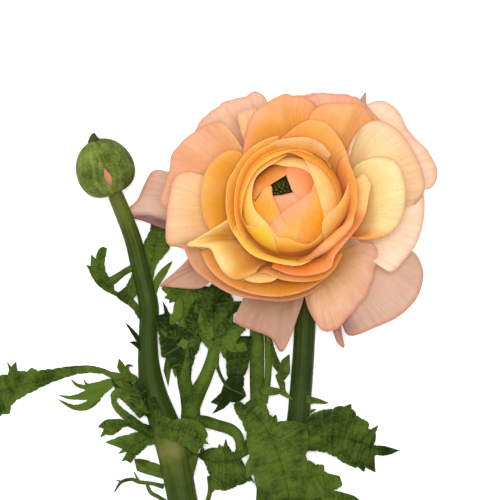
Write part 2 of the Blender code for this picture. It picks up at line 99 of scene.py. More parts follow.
class Shader:
    """A material's node tree, built from expressions."""

    def __init__(self, name):
        self.material = bpy.data.materials.new(name)
        self.material.use_nodes = True
        self.tree = self.material.node_tree
        self.tree.nodes.clear()
        self.output = self.tree.nodes.new("ShaderNodeOutputMaterial")

    def node(self, kind, settings=(), inputs=()):
        """Adds any node: its settings, then the values or links of its sockets."""
        made = self.tree.nodes.new("ShaderNode" + kind)
        for key, value in dict(settings).items():
            setattr(made, key, value)
        for key, value in dict(inputs).items():
            self.feed(made.inputs[key], value)
        return made

    def feed(self, socket, value):
        """Links a value or a socket to a socket, or sets a plain number on it."""
        if isinstance(value, Value):
            value = value.socket
        if isinstance(value, bpy.types.NodeSocket):
            self.tree.links.new(value, socket)
        else:
            socket.default_value = value

    def maths(self, operation, *numbers):
        """A Math node on numbers or values."""
        made = self.node("Math", {"operation": operation}, enumerate(numbers))
        return Value(self, made.outputs[0])

    def step(self, value, low, high):
        """0 below low, 1 above high, and smooth between."""
        made = self.node(
            "MapRange",
            {"interpolation_type": "SMOOTHSTEP"},
            {"Value": value, "From Min": low, "From Max": high},
        )
        return Value(self, made.outputs["Result"])

    def mix(self, share, first, second, blend="MIX"):
        """Mixes two colours, or multiplies them."""
        made = self.node("Mix", {"data_type": "RGBA", "blend_type": blend})
        self.feed(made.inputs[0], share)
        for socket, colour in ((made.inputs[6], first), (made.inputs[7], second)):
            self.feed(socket, (*colour, 1.0) if isinstance(colour, tuple) else colour)
        return made.outputs[2]

    def noise(self, vector, scale, detail=2.0, rough=0.5, stretch=None):
        """Soft noise round 0.5 over a vector, which may be stretched along its axes."""
        if stretch is not None:
            vector = self.node("VectorMath", {"operation": "MULTIPLY"}, {0: vector, 1: stretch}).outputs[0]
        inputs = {"Vector": vector, "Scale": scale, "Detail": detail, "Roughness": rough}
        return Value(self, self.node("TexNoise", (), inputs).outputs[0])

    def place(self):
        """Object coordinates, in metres."""
        return self.node("TexCoord").outputs["Object"]

    def attribute(self, name):
        """A vector stored on the mesh, and its three numbers."""
        made = self.node("Attribute", {"attribute_name": name})
        parts = self.node("SeparateXYZ", (), {0: made.outputs["Vector"]}).outputs
        return made.outputs["Vector"], *(Value(self, part) for part in parts)

    def bump(self, height, strength, distance):
        """The normal of a surface raised by a height."""
        made = self.node("Bump", (), {"Height": height, "Strength": strength, "Distance": distance})
        return made.outputs["Normal"]

    def skin(self, inputs, through=None):
        """Ends the tree with a Principled skin, which lets some light through where through is (share,
        colour)."""
        surface = self.node("BsdfPrincipled", (), inputs).outputs[0]
        if through:
            share, colour = through
            colour = (*colour, 1.0) if isinstance(colour, tuple) else colour
            behind = self.node("BsdfTranslucent", (), {"Color": colour}).outputs[0]
            surface = self.node("MixShader", (), {0: share, 1: surface, 2: behind}).outputs[0]
        self.tree.links.new(surface, self.output.inputs["Surface"])
        return self.material


# ---------------------------------------------------------------- finishes
def petal_finish(name, through=0.40):
    """A silky petal: its colours come from the mesh. Veins fan out from the base, cells mottle it and the
    rim has a thin warm line. Light comes through in a deeper tone, and a faint painted glow in that tone
    lifts the shade in its crevices."""
    s = Shader(name)
    vector, _, up, side = s.attribute("petal_place")
    own = s.node("Attribute", {"attribute_name": "petal_colour"}).outputs["Color"]
    cloud = s.noise(s.place(), 150.0, 3.0)
    patch = s.noise(s.place(), 48.0, 2.0)
    streaks = s.noise(vector, 1.0, 4.0, 0.62, stretch=(16.0, 1.2, 0.0))
    fine = s.noise(vector, 1.0, 3.0, 0.6, stretch=(46.0, 2.4, 0.0))
    grain = s.noise(s.place(), 1300.0, 2.0, 0.6)
    strength = s.maths("ABSOLUTE", side)
    veins = (s.step(streaks, 0.44, 0.68) * 0.45 + s.step(fine, 0.44, 0.62) * 0.55) * strength
    deeper = s.mix(1.0, own, (0.88, 0.68, 0.54), "MULTIPLY")
    paler = s.mix(0.45, own, (1.0, 0.90, 0.70))
    colour = s.mix(veins * 0.78 * s.step(up, 0.15, 0.7), own, deeper)
    colour = s.mix(s.step(grain, 0.40, 0.62) * 0.22, colour, deeper)
    colour = s.mix(s.step(cloud * 0.6 + patch * 0.5, 0.48, 0.72) * 0.30, colour, paler)
    edge = s.step(up + (streaks - 0.5) * 0.03, 0.955, 0.995)
    colour = s.mix(edge * (0.32 * strength + 0.12), colour, (0.78, 0.36, 0.23))
    # the deeper tone of light through the petal, also the colour of its painted glow
    behind = s.mix(1.0, own, (1.0, 0.86, 0.66), "MULTIPLY")
    relief = streaks * 0.6 + fine * 0.4 + cloud * 0.3
    inputs = {
        "Base Color": colour,
        "Roughness": 0.52 + (fine - 0.5) * 0.18,
        "Normal": s.bump(relief, 0.6, 0.0008),
        # painted glow: the petal emits a little of its deeper tone, so its shaded crevices look lit
        "Emission Color": behind,
        "Emission Strength": 0.09,
        "Sheen Weight": 0.08,
        "Sheen Roughness": 0.4,
        "Specular IOR Level": 0.30,
    }
    return s.skin(inputs, through=(through, behind))


def leaf_finish(name, dark, light, vein_colour, through=0.15, grain=(0.9, 26.0, 0.0)):
    """A satin blade: mottled green, with paler veins that run up the middle of each tooth, and a painted glow
    along its margin.
    """
    s = Shader(name)
    vector, across, along, ridge = s.attribute("blade_place")
    mottle = s.noise(s.place(), 190.0, 4.0, 0.6)
    patch = s.noise(s.place(), 62.0, 2.0)
    _, tone, _, _ = s.attribute("blade_tone")
    streaks = s.noise(vector, 1.0, 3.0, 0.6, stretch=grain)
    specks = s.noise(s.place(), 1700.0, 2.0, 0.6)
    shade = s.step(mottle * 0.55 + patch * 0.55 + streaks * 0.4 + specks * 0.35 + tone * 0.24, 0.73, 1.18)
    colour = s.mix(shade, dark, light)
    veins = (1.0 - s.step(ridge, 0.02, 0.16)) * (1.0 - s.step(along, 0.85, 0.98))
    veins = veins * (1.0 - s.step(across, 0.7, 1.0))
    net = 1.0 - s.step(s.maths("ABSOLUTE", s.noise(s.place(), 260.0, 2.0) - 0.5), 0.0, 0.045)
    lines = s.maths("MAXIMUM", veins * 0.5, net * 0.10)
    colour = s.mix(lines * 0.7, colour, vein_colour)
    # paler along the margin: painted light, standing in for light passing through the thin edge
    rim = s.step(across, 0.86, 1.0)
    colour = s.mix(rim * 0.30, colour, tuple(part * 1.3 for part in light))
    cells = s.noise(s.place(), 900.0, 2.0)
    return s.skin(
        {
            "Base Color": colour,
            "Roughness": 0.55 + cells * 0.12,
            "Normal": s.bump(cells * 0.25 + mottle * 0.7 - lines * 0.8, 0.5, 0.0006),
            "Specular IOR Level": 0.05,
        },
        through=(through, colour),
    )


def stem_finish(name, dark, light, blush):
    """A juicy stem: fine ribs along it, a soft pale down, and a brownish flush at its nodes."""
    s = Shader(name)
    vector, _, _, node = s.attribute("stem_place")
    ribs = s.noise(vector, 1.0, 3.0, 0.55, stretch=(9.0, 0.02, 0.0))
    mottle = s.noise(s.place(), 140.0, 4.0, 0.6)
    patch = s.noise(s.place(), 30.0, 2.0)
    _, tone, _, _ = s.attribute("stem_tone")
    colour = s.mix(s.step(ribs * 0.5 + patch * 0.6 + mottle * 0.5 + tone * 0.3, 0.60, 1.05), dark, light)
    colour = s.mix(node * s.step(mottle, 0.35, 0.70) * 0.75, colour, blush)
    hairs = s.noise(s.place(), 1500.0, 1.0)
    return s.skin(
        {
            "Base Color": colour,
            "Roughness": 0.46 + mottle * 0.12,
            "Normal": s.bump(ribs * 0.5 + hairs * 0.15 + mottle * 0.3, 0.5, 0.0005),
            "Sheen Weight": 0.06,
            "Sheen Roughness": 0.20,
            "Sheen Tint": (0.80, 0.92, 0.66, 1.0),
            "Specular IOR Level": 0.10,
            "Subsurface Weight": 0.05,
            "Subsurface Scale": 0.002,
        }
    )


def table_finish():
    """A plain pale table, barely mottled."""
    s = Shader("pale_table")
    grain = s.noise(s.place(), 18.0, 2.0)
    colour = s.mix(grain, (0.93, 0.93, 0.925), (0.96, 0.96, 0.958))
    inputs = {"Base Color": colour, "Roughness": 0.9, "Specular IOR Level": 0.1}
    return s.skin({**inputs, "Emission Color": (1.0, 1.0, 1.0, 1.0), "Emission Strength": 0.22})


# ---------------------------------------------------------------- surfaces
def smooth(value):
    """0 below 0, 1 above 1, and a smooth S between."""
    value = np.clip(value, 0.0, 1.0)
    return value * value * (3 - 2 * value)


def normals_of(points):
    """Unit normals of a grid of points: the cross product of its two directions."""
    cross = np.cross(np.gradient(points, axis=0), np.gradient(points, axis=1))
    return cross / np.maximum(np.linalg.norm(cross, axis=-1, keepdims=True), 1e-12)


def sheet(points, thick):
    """A closed thin shell round a grid of points: each side lies half the local thickness off it, along the
    normal, and a strip joins the two sides along the border."""
    rows, columns = points.shape[:2]
    offset = normals_of(points) * (thick / 2)[..., None]
    index = np.arange(rows * columns).reshape(rows, columns)
    corners = (index[:-1, :-1], index[1:, :-1], index[1:, 1:], index[:-1, 1:])
    upper = np.stack(corners, axis=-1).reshape(-1, 4)
    ring = np.concatenate((index[0, :-1], index[:-1, -1], index[-1, :0:-1], index[:0:-1, 0]))
    after = np.roll(ring, -1)
    border = np.stack((ring, after, after + rows * columns, ring + rows * columns), axis=-1)
    faces = np.concatenate((upper, upper[:, ::-1] + rows * columns, border)).tolist()
    vertices = np.concatenate(((points + offset).reshape(-1, 3), (points - offset).reshape(-1, 3)))
    return vertices, faces


def tube(centres, radii, sides, ribs=(0, 0.0), flat=1.0):
    """A closed tube along a path: rings of points round each centre, square to the path, with their radius
    swelling and shrinking a given number of times round, and capped by a point at each end."""
    tangents = np.gradient(centres, axis=0)
    tangents /= np.linalg.norm(tangents, axis=1, keepdims=True)
    sideways = np.cross(tangents, (0.0, 0.0, 1.0))
    sideways /= np.maximum(np.linalg.norm(sideways, axis=1, keepdims=True), 1e-9)
    upwards = np.cross(sideways, tangents)
    turn = np.linspace(0, 2 * np.pi, sides, endpoint=False)
    count, depth = ribs
    radius = radii[:, None] * (1 + depth * np.cos(count * turn))
    circle = np.cos(turn)[None, :, None] * sideways[:, None]
    circle = circle + flat * np.sin(turn)[None, :, None] * upwards[:, None]
    rings = centres[:, None] + radius[..., None] * circle
    index = np.arange(len(centres) * sides).reshape(len(centres), sides)
    beside = np.roll(index, -1, axis=1)
    quads = np.stack((index[:-1], beside[:-1], beside[1:], index[1:]), axis=-1).reshape(-1, 4)
    first, last = len(centres) * sides, len(centres) * sides + 1
    start = np.stack((np.full(sides, first), beside[0], index[0], np.full(sides, first)), axis=-1)
    end = np.stack((np.full(sides, last), index[-1], beside[-1], np.full(sides, last)), axis=-1)
    faces = [*quads.tolist(), *start[:, :3].tolist(), *end[:, :3].tolist()]
    vertices = np.concatenate((rings.reshape(-1, 3), centres[:1], centres[-1:]))
    return vertices, faces, turn


def smooth_path(stations, count):
    """A smooth curve (Catmull-Rom) through the rows of stations, read at evenly spaced parameters."""
    stations = np.array(stations, float)
    padded = np.vstack((2 * stations[0] - stations[1], stations, 2 * stations[-1] - stations[-2]))
    place = np.linspace(0, len(stations) - 1, count)
    k = np.minimum(place.astype(int), len(stations) - 2)
    t = (place - k)[:, None]
    a, b, c, d = padded[k], padded[k + 1], padded[k + 2], padded[k + 3]
    return 0.5 * (2 * b + (c - a) * t + (2 * a - 5 * b + 4 * c - d) * t**2 + (3 * b - a - 3 * c + d) * t**3)


def add_piece(name, nodes, parts, attributes, finish):
    """One visible piece from (vertices, faces) parts, in place of its CAD nodes, with vectors on its
    points."""
    count, vertices, faces = 0, [], []
    for part_vertices, part_faces in parts:
        vertices.append(part_vertices)
        faces += [[corner + count for corner in face] for face in part_faces]
        count += len(part_vertices)
    vertices = np.concatenate(vertices)
    vertices[:, 2] = np.maximum(vertices[:, 2], TABLE_GAP)
    mesh = bpy.data.meshes.new(name)
    mesh.from_pydata(((vertices - FOOTPRINT_CENTRE) * MM).tolist(), [], faces)
    for key, rows in attributes.items():
        vectors = mesh.attributes.new(key, "FLOAT_VECTOR", "POINT")
        vectors.data.foreach_set("vector", np.asarray(rows, np.float32).ravel())
    mesh.shade_smooth()
    mesh.materials.append(finish)
    piece = bpy.data.objects.new(name, mesh)
    bpy.context.scene.collection.objects.link(piece)
    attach(piece, "root")
    if nodes:
        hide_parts(*nodes)


# ---------------------------------------------------------------- petals
BALL_CENTRE = np.array((12.4, 14.3, 40.5))  # the wrapped petals lie on shells round this point
BALL_HEIGHT = 0.78  # height of a shell over its plan radius
BALL_GRIP = 0.985  # how far out on its shell a rim may lie, as a share of the radius
BALL_UNDER = 1.05  # how far a petal runs on under its shell's widest circle, in radians
BALL_DEPTH = 19.0  # what that turn would take it down over a quarter of a circle
RING_CENTRE = np.array((12.5, 14.5))  # middle of the cup's mouth
RING_WALL = 16.0  # radius of the cup's wall, from which the petals of later orders step out
SEAT_RADIUS, SEAT_HEIGHT = 4.4, 24.0  # where the innermost of the cup's petals starts on the receptacle
ROLL_START = 0.8  # share of the way up at which a rolled petal turns over
PETAL_DISH = 0.5  # how far a petal's flanks rise above its middle


def turned(axis):
    """The matrix that turns +Z onto an axis the short way."""
    turn = Vector((0, 0, 1)).rotation_difference(Vector(axis))
    return np.array(turn.to_matrix())


def bloom_axis():
    """The way the bloom faces: up, leaning by its tilt."""
    tilt, lean = np.radians(BLOOM_TILT), np.radians(BLOOM_LEAN)
    return np.array((np.sin(tilt) * np.cos(lean), np.sin(tilt) * np.sin(lean), np.cos(tilt)))


def ripple(across, seed, waves):
    """A wavy number along a rim, from -1 to 1: three sines whose phases come from the seed."""
    phase = np.array((1.7, 4.1, 2.9)) * seed
    return (
        0.55 * np.sin(waves * across + phase[0])
        + 0.30 * np.sin(2.1 * waves * across + phase[1])
        + 0.15 * np.sin(4.3 * waves * across + phase[2])
    )


def curve_through(points, count):
    """A smooth curve through a few points, read at places evenly spaced by length."""
    fine = smooth_path(points, 12 * len(points))
    length = np.concatenate(([0.0], np.cumsum(np.linalg.norm(np.diff(fine, axis=0), axis=1))))
    place = np.linspace(0, length[-1], count)
    return np.stack([np.interp(place, length, column) for column in fine.T], axis=-1)


def heading_of(offset):
    """The angle in plan of each offset, with no jump between neighbours."""
    return np.unwrap(np.arctan2(offset[..., 1], offset[..., 0]))


def along_heading(angle):
    """The unit step in plan towards each angle."""
    return np.stack((np.cos(angle), np.sin(angle)), axis=-1)


def wrapped_petal(rim, radius, foot, shape, seed):
    """A petal of the ball. Its rim is a plan curve lifted onto a shell: height = centre + BALL_HEIGHT
    times the root of radius squared less distance squared. From each rim point the petal runs straight,
    in plan, to its own foot on the shell's widest circle, and from there round the underside to the
    receptacle. The shell's radius may grow towards the rim's last point, and a rim that reaches past its
    shell turns down beside it."""
    centre = BALL_CENTRE[:2] + shape.get("shift", (0.0, 0.0))
    radius = radius + shape.get("grow", 0.0) * np.linspace(0, 1, len(rim)) ** 1.5
    offset = rim - centre
    over = np.maximum(np.linalg.norm(offset, axis=1) / (BALL_GRIP * radius), 1.0)
    rim = centre + offset / over[:, None]
    first, last = heading_of(np.stack((rim[0], rim[-1])) - centre)
    middle = first + np.mod(np.radians(foot) - first, 2 * np.pi)
    last = first + np.mod(last - first, 2 * np.pi)
    last = max(last, middle + 0.2)
    angle = np.linspace(first, last, len(rim))
    bulge = np.linspace(-BALL_UNDER, np.pi / 2, PETAL_ROWS)[:, None]
    equator = centre + radius[:, None] * along_heading(angle)
    share = 1 - np.cos(np.maximum(bulge, 0.0))[..., None]
    plan = equator + (rim - equator) * share
    below = np.minimum(bulge, 0.0)
    claw = middle + (angle - middle) * (0.45 + 0.55 * np.cos(below * 1.2))
    under = centre + (radius * np.cos(below))[..., None] * along_heading(claw)
    drop = (-np.sin(below) / np.sin(BALL_UNDER))[..., None] ** 1.5
    under = under + (BLOOM_BASE[:2] - centre) * drop
    plan = np.where(bulge[..., None] > 0, plan, under)
    distance = np.linalg.norm(plan - centre, axis=-1)
    cap = np.sqrt(np.maximum(radius**2 - distance**2, 0.0))
    height = BALL_CENTRE[2] + np.where(bulge > 0, BALL_HEIGHT * cap, BALL_DEPTH * np.sin(below))
    across = np.linspace(-1, 1, len(rim))[None]
    height = height + (0.12 * ripple(across, seed, 7.0) - 1.5 * radius * (over - 1)) * smooth(bulge)
    return np.concatenate((plan, height[..., None]), axis=-1)


def spread_petal(rim, heights, order, foot, shape, seed):
    """A petal of the cup or an open one: each of its lines is a cubic curve from the receptacle to a rim
    point. The first handle goes out beside the ball, further for petals of a later order; the second
    stands over the cup's wall or leans in over it, climb below the rim, so that the blade turns over and
    lies flatter than a bowl's side. With a roll, the last fifth of the petal turns outwards over its rim,
    that far in the middle and tapering to both ends."""
    get = shape.get
    across = np.linspace(-1, 1, len(rim))
    offset = rim - RING_CENTRE
    distance = np.linalg.norm(offset, axis=-1)
    angle = heading_of(offset)
    middle = np.radians(foot)
    middle += 2 * np.pi * np.round((angle.mean() - middle) / (2 * np.pi))
    top = np.interp(across, np.linspace(-1, 1, len(heights)), heights)
    wave = get("wavy", 0.0) * ripple(across, seed + 2, 13.0) * (1 - across**2)
    rim = rim + wave[:, None] * along_heading(angle)
    top = top + get("ruffle", 0.35) * ripple(across, seed, get("waves", 6.0)) * (1 - across**2)
    wall = RING_WALL + 0.45 * order
    claw = middle + (angle - middle) * 0.45
    start = BLOOM_BASE[:2] + (SEAT_RADIUS + 0.25 * order) * along_heading(claw)
    belly = (wall + 1.5) * get("belly", 1.0)
    first = BLOOM_BASE[:2] + belly * along_heading(middle + (angle - middle) * 0.8)
    reach = wall - get("lean", 0.0) + np.maximum(distance - wall, 0.0) * get("turn", 0.22)
    second = RING_CENTRE + np.minimum(reach, distance + 1.0)[:, None] * along_heading(angle)
    base = SEAT_HEIGHT - 0.55 * order
    points = (
        np.column_stack((start, np.full(len(rim), base))),
        np.column_stack((first, np.full(len(rim), base - 3.5 - 0.5 * order))),
        np.column_stack((second, top - get("climb", 0.0))),
        np.column_stack((rim, top)),
    )
    whole = np.linspace(0, 1, PETAL_ROWS)[:, None]
    t = np.minimum(whole / (ROLL_START if "roll" in shape else 1.0), 1.0)[..., None]
    line = points[0] * (1 - t) ** 3 + 3 * points[1] * t * (1 - t) ** 2
    line = line + 3 * points[2] * t**2 * (1 - t) + points[3] * t**3
    t = t[..., 0]
    beyond = np.maximum(whole - ROLL_START, 0.0) / (1 - ROLL_START)
    roll_middle, roll_half = get("roll_at", (0.0, 1.0))
    curl = get("roll", 0.0) * np.cos(np.pi / 2 * np.clip((across - roll_middle) / roll_half, -1, 1))
    line[..., :2] += (curl * np.sin(np.pi / 2 * beyond))[..., None] * along_heading(angle)
    line[..., 2] += curl * (0.3 * np.sin(np.pi * beyond) - 0.5 * beyond**2)
    dish = PETAL_DISH * (across**2 - 0.5) * np.sin(np.pi * t) ** 2
    pleat = 0.10 * ripple(across * 2.2, seed + 5, 6.0) * smooth((t - 0.4) / 0.6)
    line[..., 2] += dish + pleat
    return line


def layer_point(layers, layer, along):
    """Radius and height at a share along the profile of a layer that may lie between two of the table's:
    the four points of its cubic curve are mixed from the two nearest layers."""
    lower = np.clip(layer.astype(int), 0, len(layers) - 2)
    share = (layer - lower)[..., None, None]
    points = layers[lower] * (1 - share) + layers[lower + 1] * share
    along = along[..., None]
    rest = 1 - along
    p = [points[..., i, :] for i in range(4)]
    profile = p[0] * rest**3 + 3 * p[1] * along * rest**2 + 3 * p[2] * along**2 * rest + p[3] * along**3
    return profile[..., 0], profile[..., 1]


def sepal_surface(layers, layer, azimuth, half_width, reach, shape, seed):
    """A sepal on its layer. Across it runs from -1 to 1 and up it from 0 at the base to 1 at the rim.
    Azimuth: the sepal's own, plus its half width times the sine of the place across, narrowed to a claw at
    the base.
    Along the profile: up times the reach, less towards the flanks, more at the tip.
    Layer: the sepal's own, tilted across its width so that neighbours overlap, and a little wavy."""
    up, across = np.meshgrid(np.linspace(0, 1, PETAL_ROWS), np.linspace(-1, 1, PETAL_COLUMNS), indexing="ij")
    get = shape.get
    side = np.sin(np.pi / 2 * across)
    rim = 1 - get("rounding", 0.45) * (1 - np.cos(np.pi / 2 * across))
    rim = rim + get("point", 0.0) * np.maximum(0.0, 1 - np.abs(across) * 3) ** 1.3
    along = up * reach * rim
    claw = get("claw", CLAW)
    spread = claw + (1 - claw) * np.sin(np.pi / 2 * np.minimum(1.0, up / 0.62))
    wide = half_width + get("gape", 0.0) * (1 - np.exp(-(((up - 0.43) / 0.13) ** 2)))
    angle = np.radians(azimuth + side * spread * wide)
    own = layer + get("tilt", 0.16) * side * smooth(up / 0.4)
    own = own + get("ruffle", 0.05) * ripple(across, seed, 6.0) * smooth((up - 0.35) / 0.65)
    own = np.clip(own, 0.0, len(layers) - 1.001)
    radius, height = layer_point(layers, own, along)
    return np.stack((radius * np.cos(angle), radius * np.sin(angle), height), axis=-1)


def petal(name, node, slot, points, tint, finish, thick=PETAL_THICK, edge=PETAL_EDGE, tone=0.0):
    """A petal as a closed sheet that thins towards its rim and flanks, with its colours in an attribute."""
    rows, columns = points.shape[:2]
    up, across = np.meshgrid(np.linspace(0, 1, rows), np.linspace(-1, 1, columns), indexing="ij")
    margin = np.minimum(1 - up, (1 - np.abs(across)) * 1.2)
    wall = edge + (thick - edge) * smooth(margin / 0.22)
    vertices, faces = sheet(points, wall)
    veined = 1.0 if slot == "petal_outer" else 0.65
    here = np.stack((across, up, np.full_like(up, veined)), axis=-1).reshape(-1, 3)
    colour = tint_colours(tint, up, across).reshape(-1, 3)
    outer = colour + (linear(BACK) - colour) * (0.0 if tint in WRAPPED else 0.35)
    attributes = {
        "petal_place": np.concatenate((here, here * (1, 1, -1))),
        "petal_colour": np.concatenate((colour, outer)),
        "blade_place": np.tile(np.stack((0 * up, up, 2 + across), axis=-1).reshape(-1, 3), (2, 1)),
        "blade_tone": np.full((2 * len(here), 3), tone),
    }
    add_piece(name, [node] if node else [], [(vertices, faces)], attributes, finish)


# Colours of the petals at the base, the middle and the rim, as the eye sees them, out of 255, and then
# any tinges. Some of these colours hold painted shade where a petal lies in shadow, noted at each.
TINTS = {
    "ember": ((84, 96, 22), (220, 126, 36), (240, 152, 66)),
    "heart_deep": ((84, 104, 24), (238, 138, 72), (244, 156, 102)),
    "olive_honey": ((214, 156, 34), (238, 162, 46), (238, 170, 68)),
    "heart": ((84, 104, 24), (232, 148, 82), (236, 164, 122)),
    "pink_tip": ((250, 190, 50), (250, 188, 82), (248, 168, 118)),
    "gold": ((246, 166, 34), (247, 178, 52), (250, 196, 90)),
    "flame": ((244, 150, 20), (248, 162, 34), (248, 170, 74)),
    "gold_deep": ((240, 156, 26), (240, 166, 44), (240, 168, 66)),
    "lemon_bright": ((250, 196, 40), (250, 206, 60), (250, 206, 82)),
    "pale_honey": ((248, 184, 60), (251, 206, 96), (252, 210, 130)),
    "lemon": ((252, 194, 44), (254, 208, 68), (254, 208, 94)),
    "apricot": ((240, 160, 54), (249, 194, 102), (250, 204, 126)),
    "cream": ((252, 192, 70), (253, 208, 120), (254, 208, 140)),
    "salmon": ((238, 148, 40), (236, 156, 58), (232, 148, 82), ((250, 214, 144), 1), ((226, 128, 52), -1)),
    "amber_pink": ((242, 160, 50), (244, 172, 78), (242, 162, 114)),
    "lens": ((236, 156, 50), (242, 172, 78), (250, 200, 122)),
    "ring_amber": ((245, 172, 44), (247, 190, 58), (246, 190, 90)),
    "butter_amber": ((248, 194, 98), (247, 194, 102), (243, 176, 98)),
    "amber_left": ((244, 168, 44), (244, 178, 58), (240, 168, 78)),
    "orange_peach": ((246, 184, 94), (246, 180, 104), (243, 168, 110)),
    "deep_amber": ((238, 142, 20), (236, 152, 40), (232, 152, 64)),
    "ring_pink": ((246, 180, 52), (248, 196, 84), (251, 208, 152)),
    # pink_rim's darker colour on its -1 flank is painted shade, where that flank of the cup petal lies in
    # shadow
    "pink_rim": ((244, 166, 54), (240, 166, 78), (236, 162, 106), ((222, 142, 78), -1)),
    "band": ((236, 144, 40), (230, 146, 48), (232, 154, 66)),
    "fold": ((236, 144, 36), (240, 174, 74), (250, 208, 136), ((232, 156, 58), 1)),
    "butter": ((246, 184, 110), (250, 218, 158), (248, 210, 160), ((242, 164, 86), -1)),
    "butter_peach": ((248, 184, 104), (250, 216, 168), (243, 198, 162)),
    "peach": ((236, 160, 76), (246, 196, 142), (242, 188, 150), ((228, 174, 124), 1)),
    # umber: the bottom petal's orange darkened by painted shade, where it lies under the ball's overhang
    "umber": ((206, 122, 50), (196, 124, 62), (206, 138, 88)),
    "coral": ((243, 168, 100), (238, 172, 124), (236, 168, 144)),
    "coral_deep": (
        (244, 172, 104), (238, 168, 118), (230, 164, 130), ((232, 168, 140), 1), ((249, 202, 136), -1)
    ),
    "shell_pink": ((248, 204, 168), (250, 220, 202), (249, 210, 194)),
    "far_left": ((230, 190, 166), (224, 176, 156), (216, 166, 150), ((150, 96, 102), 1, 0.86)),
    "dusk": ((206, 140, 104), (224, 164, 136), (232, 182, 162)),
    "blush_peach": ((248, 182, 98), (246, 196, 158), (232, 166, 140), ((206, 146, 104), -1)),
    "blush_mauve": ((222, 176, 152), (226, 182, 166), (218, 170, 156), ((166, 112, 108), -1)),
    # rose: the back petals' dusky pink, darkened by painted shade, most at the base where the bloom overhangs
    # them
    "rose": ((184, 130, 98), (194, 140, 114), (210, 152, 132)),
    "mauve": ((222, 170, 142), (214, 160, 140), (196, 136, 128)),
    "green": ((110, 130, 50), (120, 140, 60), (130, 150, 70)),
}


# Tints of the wrapped petals, which show their outer side.
WRAPPED = (
    "ember", "flame", "gold_deep", "heart", "heart_deep", "olive_honey", "pale_honey",
    "lemon_bright", "apricot", "gold", "pink_tip", "lemon", "cream",
)
CUP = ("ring_amber", "ring_pink", "pink_rim", "salmon", "butter_amber")  # tints of the cup's rims
BACK = (232, 178, 150)  # what the other petals' outer sides lean to


def linear(colour):
    """Colours out of 255 as shares of light."""
    return (np.array(colour) / 255.0) ** 2.2


def tint_colours(tint, up, across):
    """Mixes a tint's three colours up the petal: from the base's to the middle's between 0.45 and 0.75,
    and on to the rim's near 1. Any further colours tinge a flank each: (colour, side), or only a band
    along its rim: (colour, side, the share of the way up where the band starts). A flank's colour may
    be painted shade, as on pink_rim."""
    base, middle, rim = linear(TINTS[tint][:3])
    share = smooth((up - 0.35) / 0.4)[..., None]
    colour = base * (1 - share) + middle * share
    share = smooth((up + 0.05 * across**2 - 0.72) / 0.28)[..., None]
    colour = colour * (1 - share) + rim * share
    for flank, side, *band in TINTS[tint][3:]:
        share = smooth((side * across - 0.38) / 0.25)[..., None]
        if band:
            share = (smooth((side * across - 0.10) / 0.12) * smooth((up - band[0]) / 0.05))[..., None]
        colour = colour * (1 - share) + linear(flank) * share
    red = 0.98 if tint in WRAPPED + CUP else 0.90
    return np.minimum(colour * (red, 1.13, 1.12), 0.96)


# Petals and folded rims that the CAD has no node for.
EXTRA_PETALS = (
    "ball_petal_right", "ball_band", "cup_band_left", "cup_rim_right",
    "cup_rim_top", "open_band_top", "open_fold_left", "open_band_front",
    "open_lens_front", "guard_tip_top", "guard_tip_front",
)
